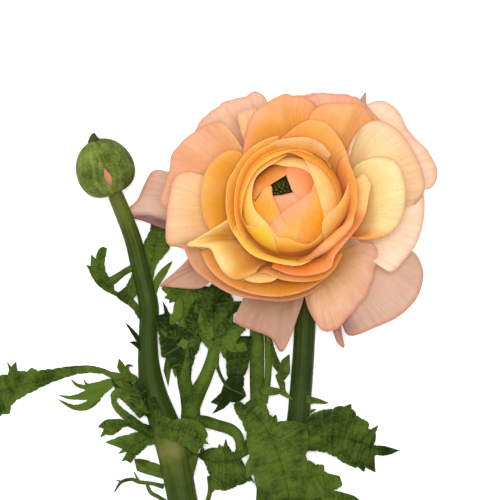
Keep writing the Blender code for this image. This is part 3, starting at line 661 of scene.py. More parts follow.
# name, tint, order, azimuth of its foot, heights along its rim, shape, rim in plan.
# A negative order is the radius of a ball petal's shell, which gives the rim's heights.
PETALS = (
    (
        "heart_petal_3", "ember", -12.3, 128, (), {"grow": 1.2},
        ((15.4, 23), (13.1, 23.6), (10.8, 22.4), (7.4, 20.3), (4.1, 18.1), (2.3, 16.1), (0.7, 13.5),
         (-0.3, 10.5)),
    ),
    (
        "heart_petal_2", "heart", -12.6, 300, (), {},
        ((8.7, 8.7), (7.7, 12), (6.3, 15.7), (9.7, 16.4), (12.8, 17.1), (15.4, 16.4), (18, 13.5)),
    ),
    (
        "heart_petal_1", "heart_deep", -12.9, 30, (), {},
        ((19, 11), (15.6, 14.6), (12.9, 17.1), (11.7, 19.8), (10.8, 22.4), (10.8, 24.3), (12.3, 26.6)),
    ),
    (
        "core_petal_1", "olive_honey", -13.9, 215, (), {},
        ((0, 16.4), (1.3, 13.3), (2.9, 16), (3.9, 18.1), (5.1, 19.3), (6.4, 19.1), (6.6, 17.6), (6.8, 16.1),
         (7.7, 13.8), (9, 11), (10, 5.3)),
    ),
    (
        "core_petal_2", "pink_tip", -14.15, 290, (), {},
        ((3.3, 3.8), (5.6, 6.9), (8.7, 10.5), (13.6, 14.1), (16.9, 16.4), (19.8, 18.4), (23.1, 18.7)),
    ),
    (
        "core_petal_3", "cream", -13.5, 95, (), {},
        ((20.8, 20.2), (16.9, 23.6), (14.1, 24.7), (10.2, 25.1), (7.5, 25.7), (5.1, 25.1)),
    ),
    (
        "inner_petal_1", "flame", -14.4, 330, (), {},
        ((15.4, -0.3), (14.4, 2.7), (14.7, 6.1), (16.4, 11), (18, 16.6), (19.5, 20.7), (22.6, 23)),
    ),
    (
        "inner_petal_2", "pale_honey", -14.8, 190, (), {},
        ((11.3, 28.7), (7.7, 26.4), (4.3, 24.2), (1.5, 21.2), (0.6, 16.1), (1.5, 12), (4.7, 8.4),
         (8.7, 3.3)),
    ),
    (
        "inner_petal_3", "cream", -14.65, 15, (), {},
        ((20.5, 1.7), (22.1, 5.8), (22.1, 10.2), (20.8, 14.8), (19.5, 19.2), (18, 23), (16.6, 26.4),
         (14.9, 29)),
    ),
    (
        "ball_petal_1", "lemon_bright", -15.2, 245, (), {"shift": (-0.3, 0.0)},
        ((-2.6, 12), (-2.6, 8.4), (0.7, 7.2), (5.1, 6.9), (6.9, 4.5), (8.2, -0.1)),
    ),
    (
        "ball_petal_3", "gold_deep", -15.4, 50, (), {"shift": (0.0, 0.5)},
        ((26.8, 5.8), (26.7, 8.1), (26.6, 12), (26.2, 16.1), (24.9, 20.2), (21.8, 24.2), (16.7, 27.1),
         (11.8, 29.2), (7.7, 27.7)),
    ),
    (
        "ball_petal_right", "apricot", -15.3, 340, (), {"grow": 3.8},
        ((22.6, 1.7), (22.1, 4.3), (21.4, 6.1), (21.8, 8.8), (23.8, 11.4), (25.9, 13.1), (27.4, 15.1),
         (28.8, 18), (29.5, 20.2)),
    ),
    (
        "ball_petal_2", "gold", -15.7, 140, (), {"shift": (-0.4, 0.7)},
        ((19, 28.3), (16.9, 29.2), (13.6, 29.9), (9.7, 28.7), (5.6, 26.8), (1.8, 23.8), (-0.8, 19.2),
         (-2.2, 14.1), (-2.6, 8.4)),
    ),
    (
        "ball_petal_4", "gold", -15, 270, (), {},
        ((0.7, 2.2), (4.6, 3.3), (7.7, 3.8), (11.8, 3.3), (14.4, 2.2), (17.4, 1.7), (20, 3.3), (22.1, 5.8)),
    ),
    (
        "ball_band", "gold_deep", -16.1, 110, (), {"shift": (-0.3, 0.8)},
        ((24.1, 24.6), (22.6, 27.2), (20.3, 29.3), (16.9, 30.5), (12.3, 30.6), (7.7, 29.5), (3.8, 27.7),
         (0.5, 24.3), (-2.2, 18.2)),
    ),
    (
        "cup_band_left", "gold", 0, 160, (43, 48, 43), {"climb": 5, "lean": 2.0},
        ((10.8, 32.6), (6.6, 31.8), (2.5, 29.7), (-1.1, 26.4), (-3.4, 22), (-4.5, 17.4), (-4.7, 12.3),
         (-3.9, 7.1), (-1.6, 2.7)),
    ),
    (
        "cup_petal_1", "ring_pink", 0.4, 70, (43, 48, 43), {"climb": 4, "turn": 0.0, "lean": 1.5},
        ((24.4, 28.7), (21.3, 31.9), (17.4, 33.6), (11.8, 33.5), (8.7, 32.9), (5.6, 31.8)),
    ),
    (
        "cup_petal_3", "ring_amber", 1, 165, (44, 49, 43), {"climb": 4, "turn": 0.1, "lean": 1.0},
        ((8.7, 34.4), (4.6, 33.1), (0.7, 30.8), (-2.6, 27.3), (-4.9, 23.6), (-6.6, 20.5), (-7.2, 16.1),
         (-7.1, 11.5), (-5.7, 6.3), (-3.1, 2.5)),
    ),
    (
        "cup_petal_4", "lemon", 0.2, 262, (43, 47.5, 43), {"climb": 4, "turn": 0.0, "lean": 2.0},
        ((-7, 9.4), (-4.9, 5.1), (-1.3, 0.2), (2.5, -2.3), (9, -4.1), (14.1, -4.7), (17.2, -3.7),
         (20.5, -1.6), (23.4, 1.2)),
    ),
    (
        "cup_petal_2", "pink_rim", 0.5, 335, (44, 49, 45),
        {"climb": 3, "turn": 0.0, "roll": 3.0, "roll_at": (-0.33, 0.46), "lean": 2.0},
        ((12, -5.2), (17.2, -2.5), (20, 0.2), (22.8, 2.9), (26.4, 5.9), (29.7, 8.3), (31.8, 12.5),
         (32, 18.8), (30.7, 23.7), (28.2, 28.7)),
    ),
    (
        "cup_rim_right", "salmon", 1.6, 325, (43, 48, 41), {"climb": 3, "turn": 0.0, "lean": 3.5},
        ((6.4, -5.2), (11.4, -7.3), (16.4, -7.8), (21.3, -6.9), (24.3, -5.2), (25.4, -1.8), (28.8, 2.6),
         (32.5, 6.9), (34.7, 11.3), (35.7, 16.3), (36.3, 20), (34.4, 23.1)),
    ),
    (
        "cup_rim_top", "butter_amber", 1.7, 60, (42, 48, 42), {"climb": 2, "turn": 0.1},
        ((31, 17.5), (30.4, 23.7), (28.8, 29.4), (26.3, 34), (22.6, 37.9), (17.9, 38.9), (13.9, 37.1),
         (8.9, 33.1)),
    ),
    (
        "open_band_top", "orange_peach", 2.4, 55, (26, 43, 38), {"climb": -2, "wavy": 0.3},
        ((36.3, 25), (39.7, 32.5), (37.5, 39.3), (34.1, 43.2), (28.8, 44.3), (22.6, 43.9), (19.2, 42.3),
         (17.6, 39.3), (15.1, 33.1)),
    ),
    (
        "open_petal_left", "amber_left", 2.3, 168, (38, 46, 38), {"climb": -1},
        ((0.2, 26.2), (-3.1, 29.5), (-6.1, 30.1), (-9.8, 28.1), (-12.9, 24.4), (-14.5, 19.4), (-14.7, 13.8),
         (-13.5, 8.2), (-9.2, 2.6)),
    ),
    (
        "open_fold_left", "fold", 2, 222, (45, 46, 44), {"climb": -1, "belly": 0.8},
        ((-7.3, 8.8), (-10.4, 6.8), (-15.4, 3.8), (-19.1, 1.3), (-12.3, 0.5), (-10.4, -2.8), (-7.9, -6.8),
         (-4.8, -8.9), (-1.4, -8.3), (1.7, -6.8)),
    ),
    (
        "open_band_front", "band", 2.2, 262, (40, 44, 40), {"climb": 2, "belly": 0.9},
        ((-4.2, -6.8), (-2.3, -9.4), (0.8, -8), (3.6, -6.8), (6.7, -7.7), (10.1, -9.1), (16.4, -9.6),
         (22, -8.6), (25.4, -5.8), (27.9, -1.2)),
    ),
    (
        "open_lens_front", "lens", 2.1, 258, (43, 44, 43), {"climb": 1, "belly": 0.85},
        ((-2.9, -8), (-0.5, -9.4), (2.7, -9.9), (6.4, -9.5), (8.6, -8.3)),
    ),
    (
        "open_petal_bottom", "deep_amber", 3, 262, (36, 42, 36), {"climb": 6},
        ((-14.8, -0.5), (-12.9, -4.9), (-9.2, -8.8), (-3.6, -11.9), (2.7, -13.6), (10.1, -13.9),
         (17.6, -11.9), (22.9, -8.3), (26.9, -3.7)),
    ),
    (
        "open_petal_right", "butter", 3.2, 0, (38, 46, 38), {"climb": -3},
        ((28.8, 6), (31.9, 3.5), (36.3, 3.1), (41.3, 4.4), (45, 8.2), (46.6, 13.8), (46.2, 21.3),
         (43.8, 26.6), (38.8, 28.1), (33.8, 26.7), (31, 23.7), (29.4, 20)),
    ),
    (
        "open_petal_top", "amber_pink", 3.4, 97, (34, 43, 34), {"climb": -3, "wavy": 0.5},
        ((20.7, 34.3), (20.7, 41.2), (19.2, 44.2), (15.7, 46.3), (10.8, 46.7), (6.4, 45.2), (2.7, 42.7),
         (-0.8, 37.1), (-2.3, 28.1)),
    ),
    (
        "wide_petal_left", "peach", 4.4, 185, (30, 36, 30), {"climb": -3},
        ((-12.3, 21.3), (-17, 23.7), (-20.4, 23.6), (-22.9, 21.9), (-24.4, 16.3), (-25.5, 7.6), (-25.2, 2),
         (-21.6, 0.8), (-16, -1.2)),
    ),
    (
        "wide_petal_bottom", "umber", 4.6, 255, (32, 36, 30), {"climb": 5},
        ((-22.9, 4.4), (-20.3, 0.8), (-17, -5.8), (-11, -10.5), (-4.8, -13.7), (2.7, -15), (10.1, -15.6),
         (16.4, -14.2), (21.3, -11.1), (25.1, -4.9)),
    ),
    (
        "wide_petal_top", "coral", 4.8, 70, (30, 38, 30), {"climb": -2, "wavy": 0.5},
        ((40, 28.7), (41.9, 35), (39.4, 39.6), (35.3, 43.8), (30.7, 46.5), (23.8, 47.5), (17, 46.7),
         (12.6, 45.4), (8.9, 41.2)),
    ),
    (
        "wide_petal_right", "butter_peach", 4.5, 38, (30, 41, 44), {"climb": -3},
        ((48.1, 11.3), (52.8, 17.5), (52.5, 23.1), (50, 28.7), (45.9, 34.8), (41.9, 37.9), (38.2, 39),
         (34.9, 37.9), (32.2, 34.6), (30.1, 28.7)),
    ),
    (
        "guard_petal_upper_left", "peach", 5.2, 115, (28, 33, 28), {"climb": -1},
        ((5.8, 36.2), (4.5, 41.8), (1.4, 43.2), (-2.3, 42.1), (-3.8, 40.6), (-2, 33.7), (0.2, 28.7)),
    ),
    (
        "guard_petal_left", "coral_deep", 5.6, 145, (26, 29, 22), {"climb": -1, "wavy": 0.35},
        ((-0.5, 28.4), (-4.5, 34), (-7.6, 38.4), (-10.3, 39.3), (-14.8, 37.3), (-19.1, 34.8), (-23.6, 29.4),
         (-25.1, 23.7), (-26.9, 17.5), (-27.2, 13.8), (-22.3, 10)),
    ),
    (
        "guard_petal_top", "coral", 6, 80, (24, 30, 24), {"climb": 0, "wavy": 0.5},
        ((37.5, 38.7), (36, 44.2), (31.3, 46.9), (23.8, 47.9), (16.4, 47.3), (10.1, 47.2), (4.6, 44.6),
         (1.4, 38.7)),
    ),
    (
        "guard_petal_right", "shell_pink", 6, -20, (28, 33, 30), {"climb": -1},
        ((31.9, 3.8), (39.1, -1.8), (40.6, -5.2), (43.3, -6.8), (47.8, -2.1), (51.2, 3.2), (53, 10.7),
         (52.6, 18.1), (48.7, 23.7)),
    ),
    (
        "guard_petal_front", "blush_peach", 6.4, -58, (28, 30, 30),
        {"climb": -3, "ruffle": 0.6, "waves": 15.0, "wavy": 0.5},
        ((16.4, -8.6), (17.1, -15.8), (20.1, -22.3), (22.6, -24.9), (25.7, -24.3), (28.8, -21.7),
         (32, -18.6), (35, -14.2), (37.5, -8.9), (38.3, -5.2), (40, -2.3), (37.5, 2)),
    ),
    (
        "guard_tip_top", "mauve", 7, 62, (20, 20, 20), {"climb": -1},
        ((31.3, 38.7), (33.7, 45), (35.6, 48.8), (36, 45), (38.2, 39.3)),
    ),
    (
        "guard_tip_front", "mauve", 7.2, -70, (24, 18, 22), {"climb": -3},
        ((21.3, -18), (25.1, -23.3), (26.9, -28.6), (29.2, -30.2), (28.6, -26.7), (28.3, -22.3),
         (30.7, -16.7)),
    ),
    (
        "back_petal_top", "dusk", 7.6, 120, (16, 15, 16),
        {"climb": -3, "ruffle": 0.8, "waves": 14.0, "wavy": 0.5},
        ((6.4, 38.7), (5.4, 45.4), (4, 48), (1.5, 49), (-1.1, 48), (-6.7, 46.2), (-12.3, 43.1),
         (-16.6, 37.8), (-19.1, 31.8)),
    ),
    (
        "back_petal_right", "blush_mauve", 8.4, -40, (20, 22, 24), {"climb": -4},
        ((28.8, -14.9), (29.2, -21.7), (29.4, -25.4), (31.9, -26.4), (37.5, -24.3), (45.6, -20.5),
         (51.2, -14.9), (53.2, -8.6), (52.6, -4.3), (50, -0.4), (43.1, 3.2)),
    ),
    (
        "back_petal_upper_right", "shell_pink", 8.4, 40, (12, 10, 14), {"climb": -5, "wavy": 0.35},
        ((46.2, 22.5), (52.5, 19.7), (55.6, 19), (58.2, 21.9), (58.1, 26.2), (55, 31.2), (50, 36.8),
         (46.9, 41.8), (43.8, 45.5), (39.4, 46.5), (35.3, 44.3), (30.7, 38.7)),
    ),
    (
        "back_petal_far_left", "far_left", 8.6, 172, (8, 6, 5), {"climb": -6},
        ((-20.4, 26.2), (-25.4, 24.4), (-28.5, 25.1), (-31, 24.2), (-33.3, 20), (-35.3, 15.7),
         (-39.1, 11.3), (-32.8, 8.9), (-25.4, 6.2), (-20.4, 7.6)),
    ),
    (
        "back_petal_lower_left", "rose", 9, 210, (12, 5, 12), {"climb": -5},
        ((-16, 1.3), (-19.5, -2.9), (-23.5, -6.8), (-28.2, -11.1), (-26, -11.5), (-16.6, -12.1),
         (-12.8, -10.2), (-9.2, -6.8)),
    ),
    (
        "back_petal_front", "rose", 9.2, 262, (14, 7, 14), {"climb": -6},
        ((0.8, -8.6), (-2.3, -15.5), (-4.2, -19.8), (-4.8, -22.5), (0.2, -24.9), (5.8, -27), (7.8, -29.2),
         (9.9, -32), (12.6, -27.3), (14.5, -21.7), (16.5, -15.5), (17, -8.6)),
    ),
)


OUTER_ORDER = 4  # the order from which petals count as outer ones


def make_bloom():
    """The petals of the table, from the middle outwards, and five sepals under them."""
    finish = petal_finish("petal_silk")
    for name, tint, order, foot, heights, shape, rim in PETALS:
        seed = 0.37 * sum(ord(letter) for letter in name)
        curve = curve_through(rim, PETAL_COLUMNS)
        if order < 0:
            points = wrapped_petal(curve, -order, foot, shape, seed)
        else:
            points = spread_petal(curve, heights, order, foot, shape, seed)
        node = None if name in EXTRA_PETALS else name
        petal(name, node, "petal_inner" if order < OUTER_ORDER else "petal_outer", points, tint, finish)
    sepal = leaf_finish("sepal_green", (0.06, 0.10, 0.02), (0.20, 0.28, 0.07), (0.3, 0.35, 0.12))
    shape = {"rounding": 0.6, "point": 0.05}
    for i in range(5):
        points = sepal_surface(SEPAL_LAYERS, 0.9, 30.0 + 72.0 * i, 28.0, 0.58, shape, i)
        points = BLOOM_BASE + points @ turned(bloom_axis()).T
        petal(f"sepal_{i + 1}", f"sepal_{i + 1}", "sepal", points, "green", sepal, SEPAL_THICK, 0.25)


# ---------------------------------------------------------------- head of carpels
HEAD_FOOT = np.array((14.2, 9.8, 26.0))  # where the head of carpels leaves the receptacle
HEAD_TOP = np.array((9.2, 18.6, 45.0))
HEAD_RADIUS = 4.7
CARPELS, CARPEL_ROWS, CARPEL_SIDES = 110, 7, 8
CARPEL_RADIUS, CARPEL_LENGTH, CARPEL_BEAK = 0.62, 1.2, 0.4


def make_carpels():
    """Small beaked carpels on a spiral over a long dome: each is a teardrop whose tip bends over. The nth
    carpel lies n golden angles round the dome and at an even step down it."""
    axis = HEAD_TOP - HEAD_FOOT
    length = np.linalg.norm(axis)
    turn = turned(axis / length)
    count, rows, sides = CARPELS, CARPEL_ROWS, CARPEL_SIDES
    number = np.arange(count)
    around = np.pi * (3 - 5**0.5) * number
    polar = np.arccos(1 - 1.25 * (number + 0.5) / count)
    out = np.stack((np.sin(polar) * np.cos(around), np.sin(polar) * np.sin(around), np.cos(polar)), axis=-1)
    t = np.linspace(0, 1, rows)
    turns = np.linspace(0, 2 * np.pi, sides, endpoint=False)
    width = CARPEL_RADIUS * np.sin(np.pi * np.clip(t, 0.02, 0.985)) ** 0.8 * (1 - 0.45 * t)
    helper = np.cross(out, (0.3, 0.5, 0.8))
    helper /= np.linalg.norm(helper, axis=1, keepdims=True)
    other = np.cross(out, helper)
    radii = np.array((HEAD_RADIUS - 1.0, HEAD_RADIUS - 1.0, 5.0))
    middle = np.array((0.0, 0.0, length - 6.0))
    spine = (middle + out * radii)[:, None] + out[:, None] * (CARPEL_LENGTH * t)[None, :, None]
    spine = spine + helper[:, None] * (CARPEL_BEAK * t**3)[None, :, None]
    circle = np.cos(turns)[None, :, None] * helper[:, None] + np.sin(turns)[None, :, None] * other[:, None]
    rings = spine[:, :, None] + width[None, :, None, None] * circle[:, None]
    index = np.arange(count * rows * sides).reshape(count, rows, sides)
    beside = np.roll(index, -1, axis=2)
    quads = np.stack((index[:, :-1], beside[:, :-1], beside[:, 1:], index[:, 1:]), axis=-1).reshape(-1, 4)
    caps = np.concatenate((index[:, 0, ::-1], index[:, -1]))
    places = np.broadcast_to(t[None, :, None, None], (count, rows, sides, 3)).reshape(-1, 3)
    height = np.array((0.0, 0.15, 0.35, 0.5, 0.7, 0.85, 0.95, 1.0))
    core = np.column_stack((np.zeros((8, 2)), height * (length - 1.0)))
    radius = np.array((1.6, 1.7, 2.2, 2.7, 2.8, 2.3, 1.4, 0.3))
    core_vertices, core_faces, _ = tube(core, radius, 16)
    parts = [
        (HEAD_FOOT + rings.reshape(-1, 3) @ turn.T, quads.tolist() + caps.tolist()),
        (HEAD_FOOT + core_vertices @ turn.T, core_faces),
    ]
    places = np.concatenate((places, np.zeros((len(core_vertices), 3))))
    s = Shader("carpel_green")
    _, tip, _, _ = s.attribute("carpel_place")
    mottle = s.noise(s.place(), 700.0, 3.0)
    colour = s.mix(s.step(tip + mottle * 0.4, 0.5, 1.2), (0.040, 0.046, 0.003), (0.078, 0.084, 0.008))
    bump = s.bump(mottle, 0.3, 0.0003)
    inputs = {"Base Color": colour, "Roughness": 0.5 + mottle * 0.2, "Normal": bump}
    finish = s.skin({**inputs, "Specular IOR Level": 0.15})
    add_piece("carpel_head", ["carpel_head"], parts, {"carpel_place": places}, finish)


# ---------------------------------------------------------------- bud
# The bud's sepals: angle from its upper side, half width, layer, tone.
BUD_SEPALS = (
    (60, 52, 0.5, -0.1),
    (-54, 48, 0.62, 0.35),
    (130, 46, 0.3, 0.1),
    (-126, 46, 0.3, 0.3),
    (182, 46, 0.1, 0.0),
)
FOLDED_RADII = (7.9, 7.9, 7.6)  # of the ball of folded petals
FOLDED_ROWS, FOLDED_COLUMNS = 40, 60


def make_bud():
    """The closed bud: five wrapped sepals with tips that gather in a nub, over the pink folded petals.
    The upper two stand a little apart."""
    axis = BUD_AXIS / np.linalg.norm(BUD_AXIS)
    turn = turned(axis)
    top = np.degrees(np.arctan2(*(turn.T @ (0.0, 0.0, 1.0))[1::-1]))
    dark, light, veins = (0.035, 0.062, 0.008), (0.20, 0.25, 0.045), (0.30, 0.32, 0.09)
    finish = leaf_finish("bud_green", dark, light, veins, 0.08, (0.0, 1.1, 7.0))
    for i, (side, half_width, layer, tone) in enumerate(BUD_SEPALS):
        shape = {"rounding": 0.06, "tilt": 0.10, "point": 0.02, "ruffle": 0.03, "claw": 0.95, "gape": 9.0}
        points = sepal_surface(BUD_LAYERS, layer, top + side, half_width, 1.02, shape, i)
        name = f"bud_sepal_{i + 1}"
        petal(name, name, "bud_sepal", BUD_CENTRE + points @ turn.T, "green", finish, 0.5, 0.22, tone)
    polar = np.linspace(0.01, np.pi - 0.01, FOLDED_ROWS)
    around = np.linspace(0, 2 * np.pi, FOLDED_COLUMNS, endpoint=False)
    polar, around = np.meshgrid(polar, around, indexing="ij")
    folds = 1 + 0.02 * np.sin(5 * around + 3 * polar) * np.sin(polar)
    ball = np.stack((np.sin(polar) * np.cos(around), np.sin(polar) * np.sin(around), np.cos(polar)), axis=-1)
    ball = ball * FOLDED_RADII * folds[..., None]
    index = np.arange(polar.size).reshape(polar.shape)
    beside = np.roll(index, -1, axis=1)
    quads = np.stack((index[:-1], index[1:], beside[1:], beside[:-1]), axis=-1).reshape(-1, 4).tolist()
    faces = quads + [index[0].tolist(), index[-1, ::-1].tolist()]
    up = 0.8 - 0.6 * polar / np.pi
    places = np.stack((np.sin(around), up, np.ones_like(polar)), axis=-1).reshape(-1, 3)
    colours = np.broadcast_to(linear((196, 140, 104)), (len(places), 3))
    attributes = {"petal_place": places, "petal_colour": colours}
    rosy = petal_finish("folded_petals", 0.1)
    parts = [(BUD_CENTRE + ball.reshape(-1, 3) @ turn.T, faces)]
    add_piece("bud_folded_petals", ["bud_folded_petals"], parts, attributes, rosy)
    along = np.linspace(0, 1, 24)[:, None]
    spine = BUD_CENTRE + axis * (7.0 + 4.6 * along) + np.array((1.0, 0.4, 0.6)) * along**3
    vertices, faces, _ = tube(spine, 2.6 * (1 - along[:, 0] ** 1.6) + 0.35, 24, ribs=(5, 0.10))
    place = np.broadcast_to(np.array((0.4, 0.4, 0.6)), (len(vertices), 3))
    nub = leaf_finish("nub_green", (0.012, 0.026, 0.003), (0.036, 0.062, 0.010), (0.10, 0.12, 0.03), 0.0)
    attributes = {"blade_place": place, "blade_tone": place}
    add_piece("bud_nub", [], [(vertices, faces)], attributes, nub)


# ---------------------------------------------------------------- stems
# The stems' stations: x, y, z, radius.
BLOOM_STEM = (
    (1.0, -146.0, 4.6, 4.7),
    (1.4, -138.0, 4.5, 4.5),
    (2.6, -128.0, 4.7, 4.7),
    (3.6, -121.0, 4.9, 5.0),
    (4.6, -113.0, 4.7, 4.4),
    (7.6, -100.0, 4.3, 4.0),
    (10.4, -88.0, 4.1, 3.8),
    (12.4, -77.0, 4.0, 3.7),
    (13.8, -64.0, 3.9, 3.6),
    (15.4, -50.0, 3.8, 3.5),
    (16.6, -35.0, 3.6, 3.4),
    (17.3, -22.0, 3.5, 3.3),
)
BUD_STEM = (
    (2.6, -124.0, 4.6, 3.6),
    (-3.4, -116.5, 4.5, 4.3),
    (-9.0, -107.0, 4.5, 4.4),
    (-15.0, -96.0, 4.5, 4.5),
    (-20.0, -83.0, 4.5, 4.6),
    (-22.4, -72.0, 4.6, 4.7),
    (-24.2, -62.5, 4.9, 5.1),
    (-27.0, -54.0, 4.7, 4.6),
    (-30.2, -45.0, 4.4, 4.1),
    (-31.8, -36.0, 4.0, 3.4),
    (-32.0, -26.0, 3.7, 2.9),
    (-31.8, -17.5, 3.8, 3.1),
    (-34.2, -7.0, 4.1, 2.9),
    (-36.2, 1.5, 4.8, 2.7),
)
# Height along the flower's axis, radius.
BUD_NECK = ((-20.0, 2.6), (-11.0, 2.45), (-7.35, 2.15))
RECEPTACLE = (
    (-5.0, 3.4), (-4.4, 4.6), (-3.4, 6.6), (-2.6, 6.75), (-1.5, 6.45), (2.0, 5.15), (7.0, 2.5), (7.7, 2.1)
)
NECK_FOOT, NECK_RADIUS, NECK_POINTS = -7.0, 3.2, 8


def stem_part(stations, count, nodes_at, tones=((0.0,), (0.0,))):
    """A ribbed stem along its stations. Its places are the turn round it, the length along it, and how
    near it is to a node; its tone, darker below 0, follows the height up the stem."""
    path = smooth_path(stations, count)
    vertices, faces, turn = tube(path[:, :3], path[:, 3], 40, ribs=(11, 0.018))
    length = np.concatenate(([0.0], np.cumsum(np.linalg.norm(np.diff(path[:, :3], axis=0), axis=1))))
    near = np.zeros(count)
    for place in nodes_at:
        near = np.maximum(near, np.exp(-(((path[:, 1] - place) / 3.0) ** 2)))
    ring = np.stack(np.broadcast_arrays(np.sin(turn)[None] * 2, length[:, None], near[:, None]), axis=-1)
    ends = np.array(((0, length[0], 0), (0, length[-1], 0)))
    tone = np.interp(vertices[:, 1], *tones)
    places = np.concatenate((ring.reshape(-1, 3), ends))
    return (vertices, faces), {"stem_place": places, "stem_tone": np.repeat(tone[:, None], 3, axis=1)}


def neck_stations():
    """The bend (a cubic curve) that takes the bloom's stem off the table and into the receptacle."""
    run = smooth_path(BLOOM_STEM, 34)
    start, heading = run[-1][:3], (run[-1] - run[-2])[:3]
    heading /= np.linalg.norm(heading)
    foot = BLOOM_BASE + bloom_axis() * NECK_FOOT
    reach = np.linalg.norm(foot - start)
    b, c = start + heading * reach * 0.55, foot - bloom_axis() * reach * 0.27
    t = (np.arange(1, NECK_POINTS + 1) / NECK_POINTS)[:, None]
    bend = start * (1 - t) ** 3 + 3 * b * t * (1 - t) ** 2 + 3 * c * t**2 * (1 - t) + foot * t**3
    radius = run[-1][3] + (NECK_RADIUS - run[-1][3]) * t
    top = [(*(BLOOM_BASE + bloom_axis() * height), wide) for height, wide in RECEPTACLE]
    return np.vstack((np.hstack((bend, radius)), top))


STEM_NODE, BUD_NODE = -121.0, -62.5  # how far along the fork and the bud's node lie


def make_stems():
    """The bloom's stem up to its receptacle, and the bud's branch."""
    green = stem_finish("stem_green", (0.011, 0.021, 0.001), (0.033, 0.052, 0.003), (0.14, 0.13, 0.02))
    dark, light, blush = (0.022, 0.040, 0.002), (0.080, 0.102, 0.012), (0.14, 0.13, 0.03)
    bud_green = stem_finish("bud_stem_green", dark, light, blush)
    bloom = stem_part(np.vstack((BLOOM_STEM, neck_stations())), 190, (STEM_NODE,))
    axis = BUD_AXIS / np.linalg.norm(BUD_AXIS)
    neck = [(*(BUD_CENTRE + axis * height), radius) for height, radius in BUD_NECK]
    heights = (-90.0, -66.0, -60.0, -50.0, -24.0, -8.0, 3.0, 14.0)
    tones = (heights, (-0.2, 0.0, 0.4, -0.8, -0.9, -0.5, 0.0, 0.8))
    bud = stem_part(np.vstack((BUD_STEM, neck)), 170, (BUD_NODE,), tones)
    add_piece("flower_stem", ["flower_stem"], [bloom[0]], bloom[1], green)
    add_piece("bud_branch", [], [bud[0]], bud[1], bud_green)


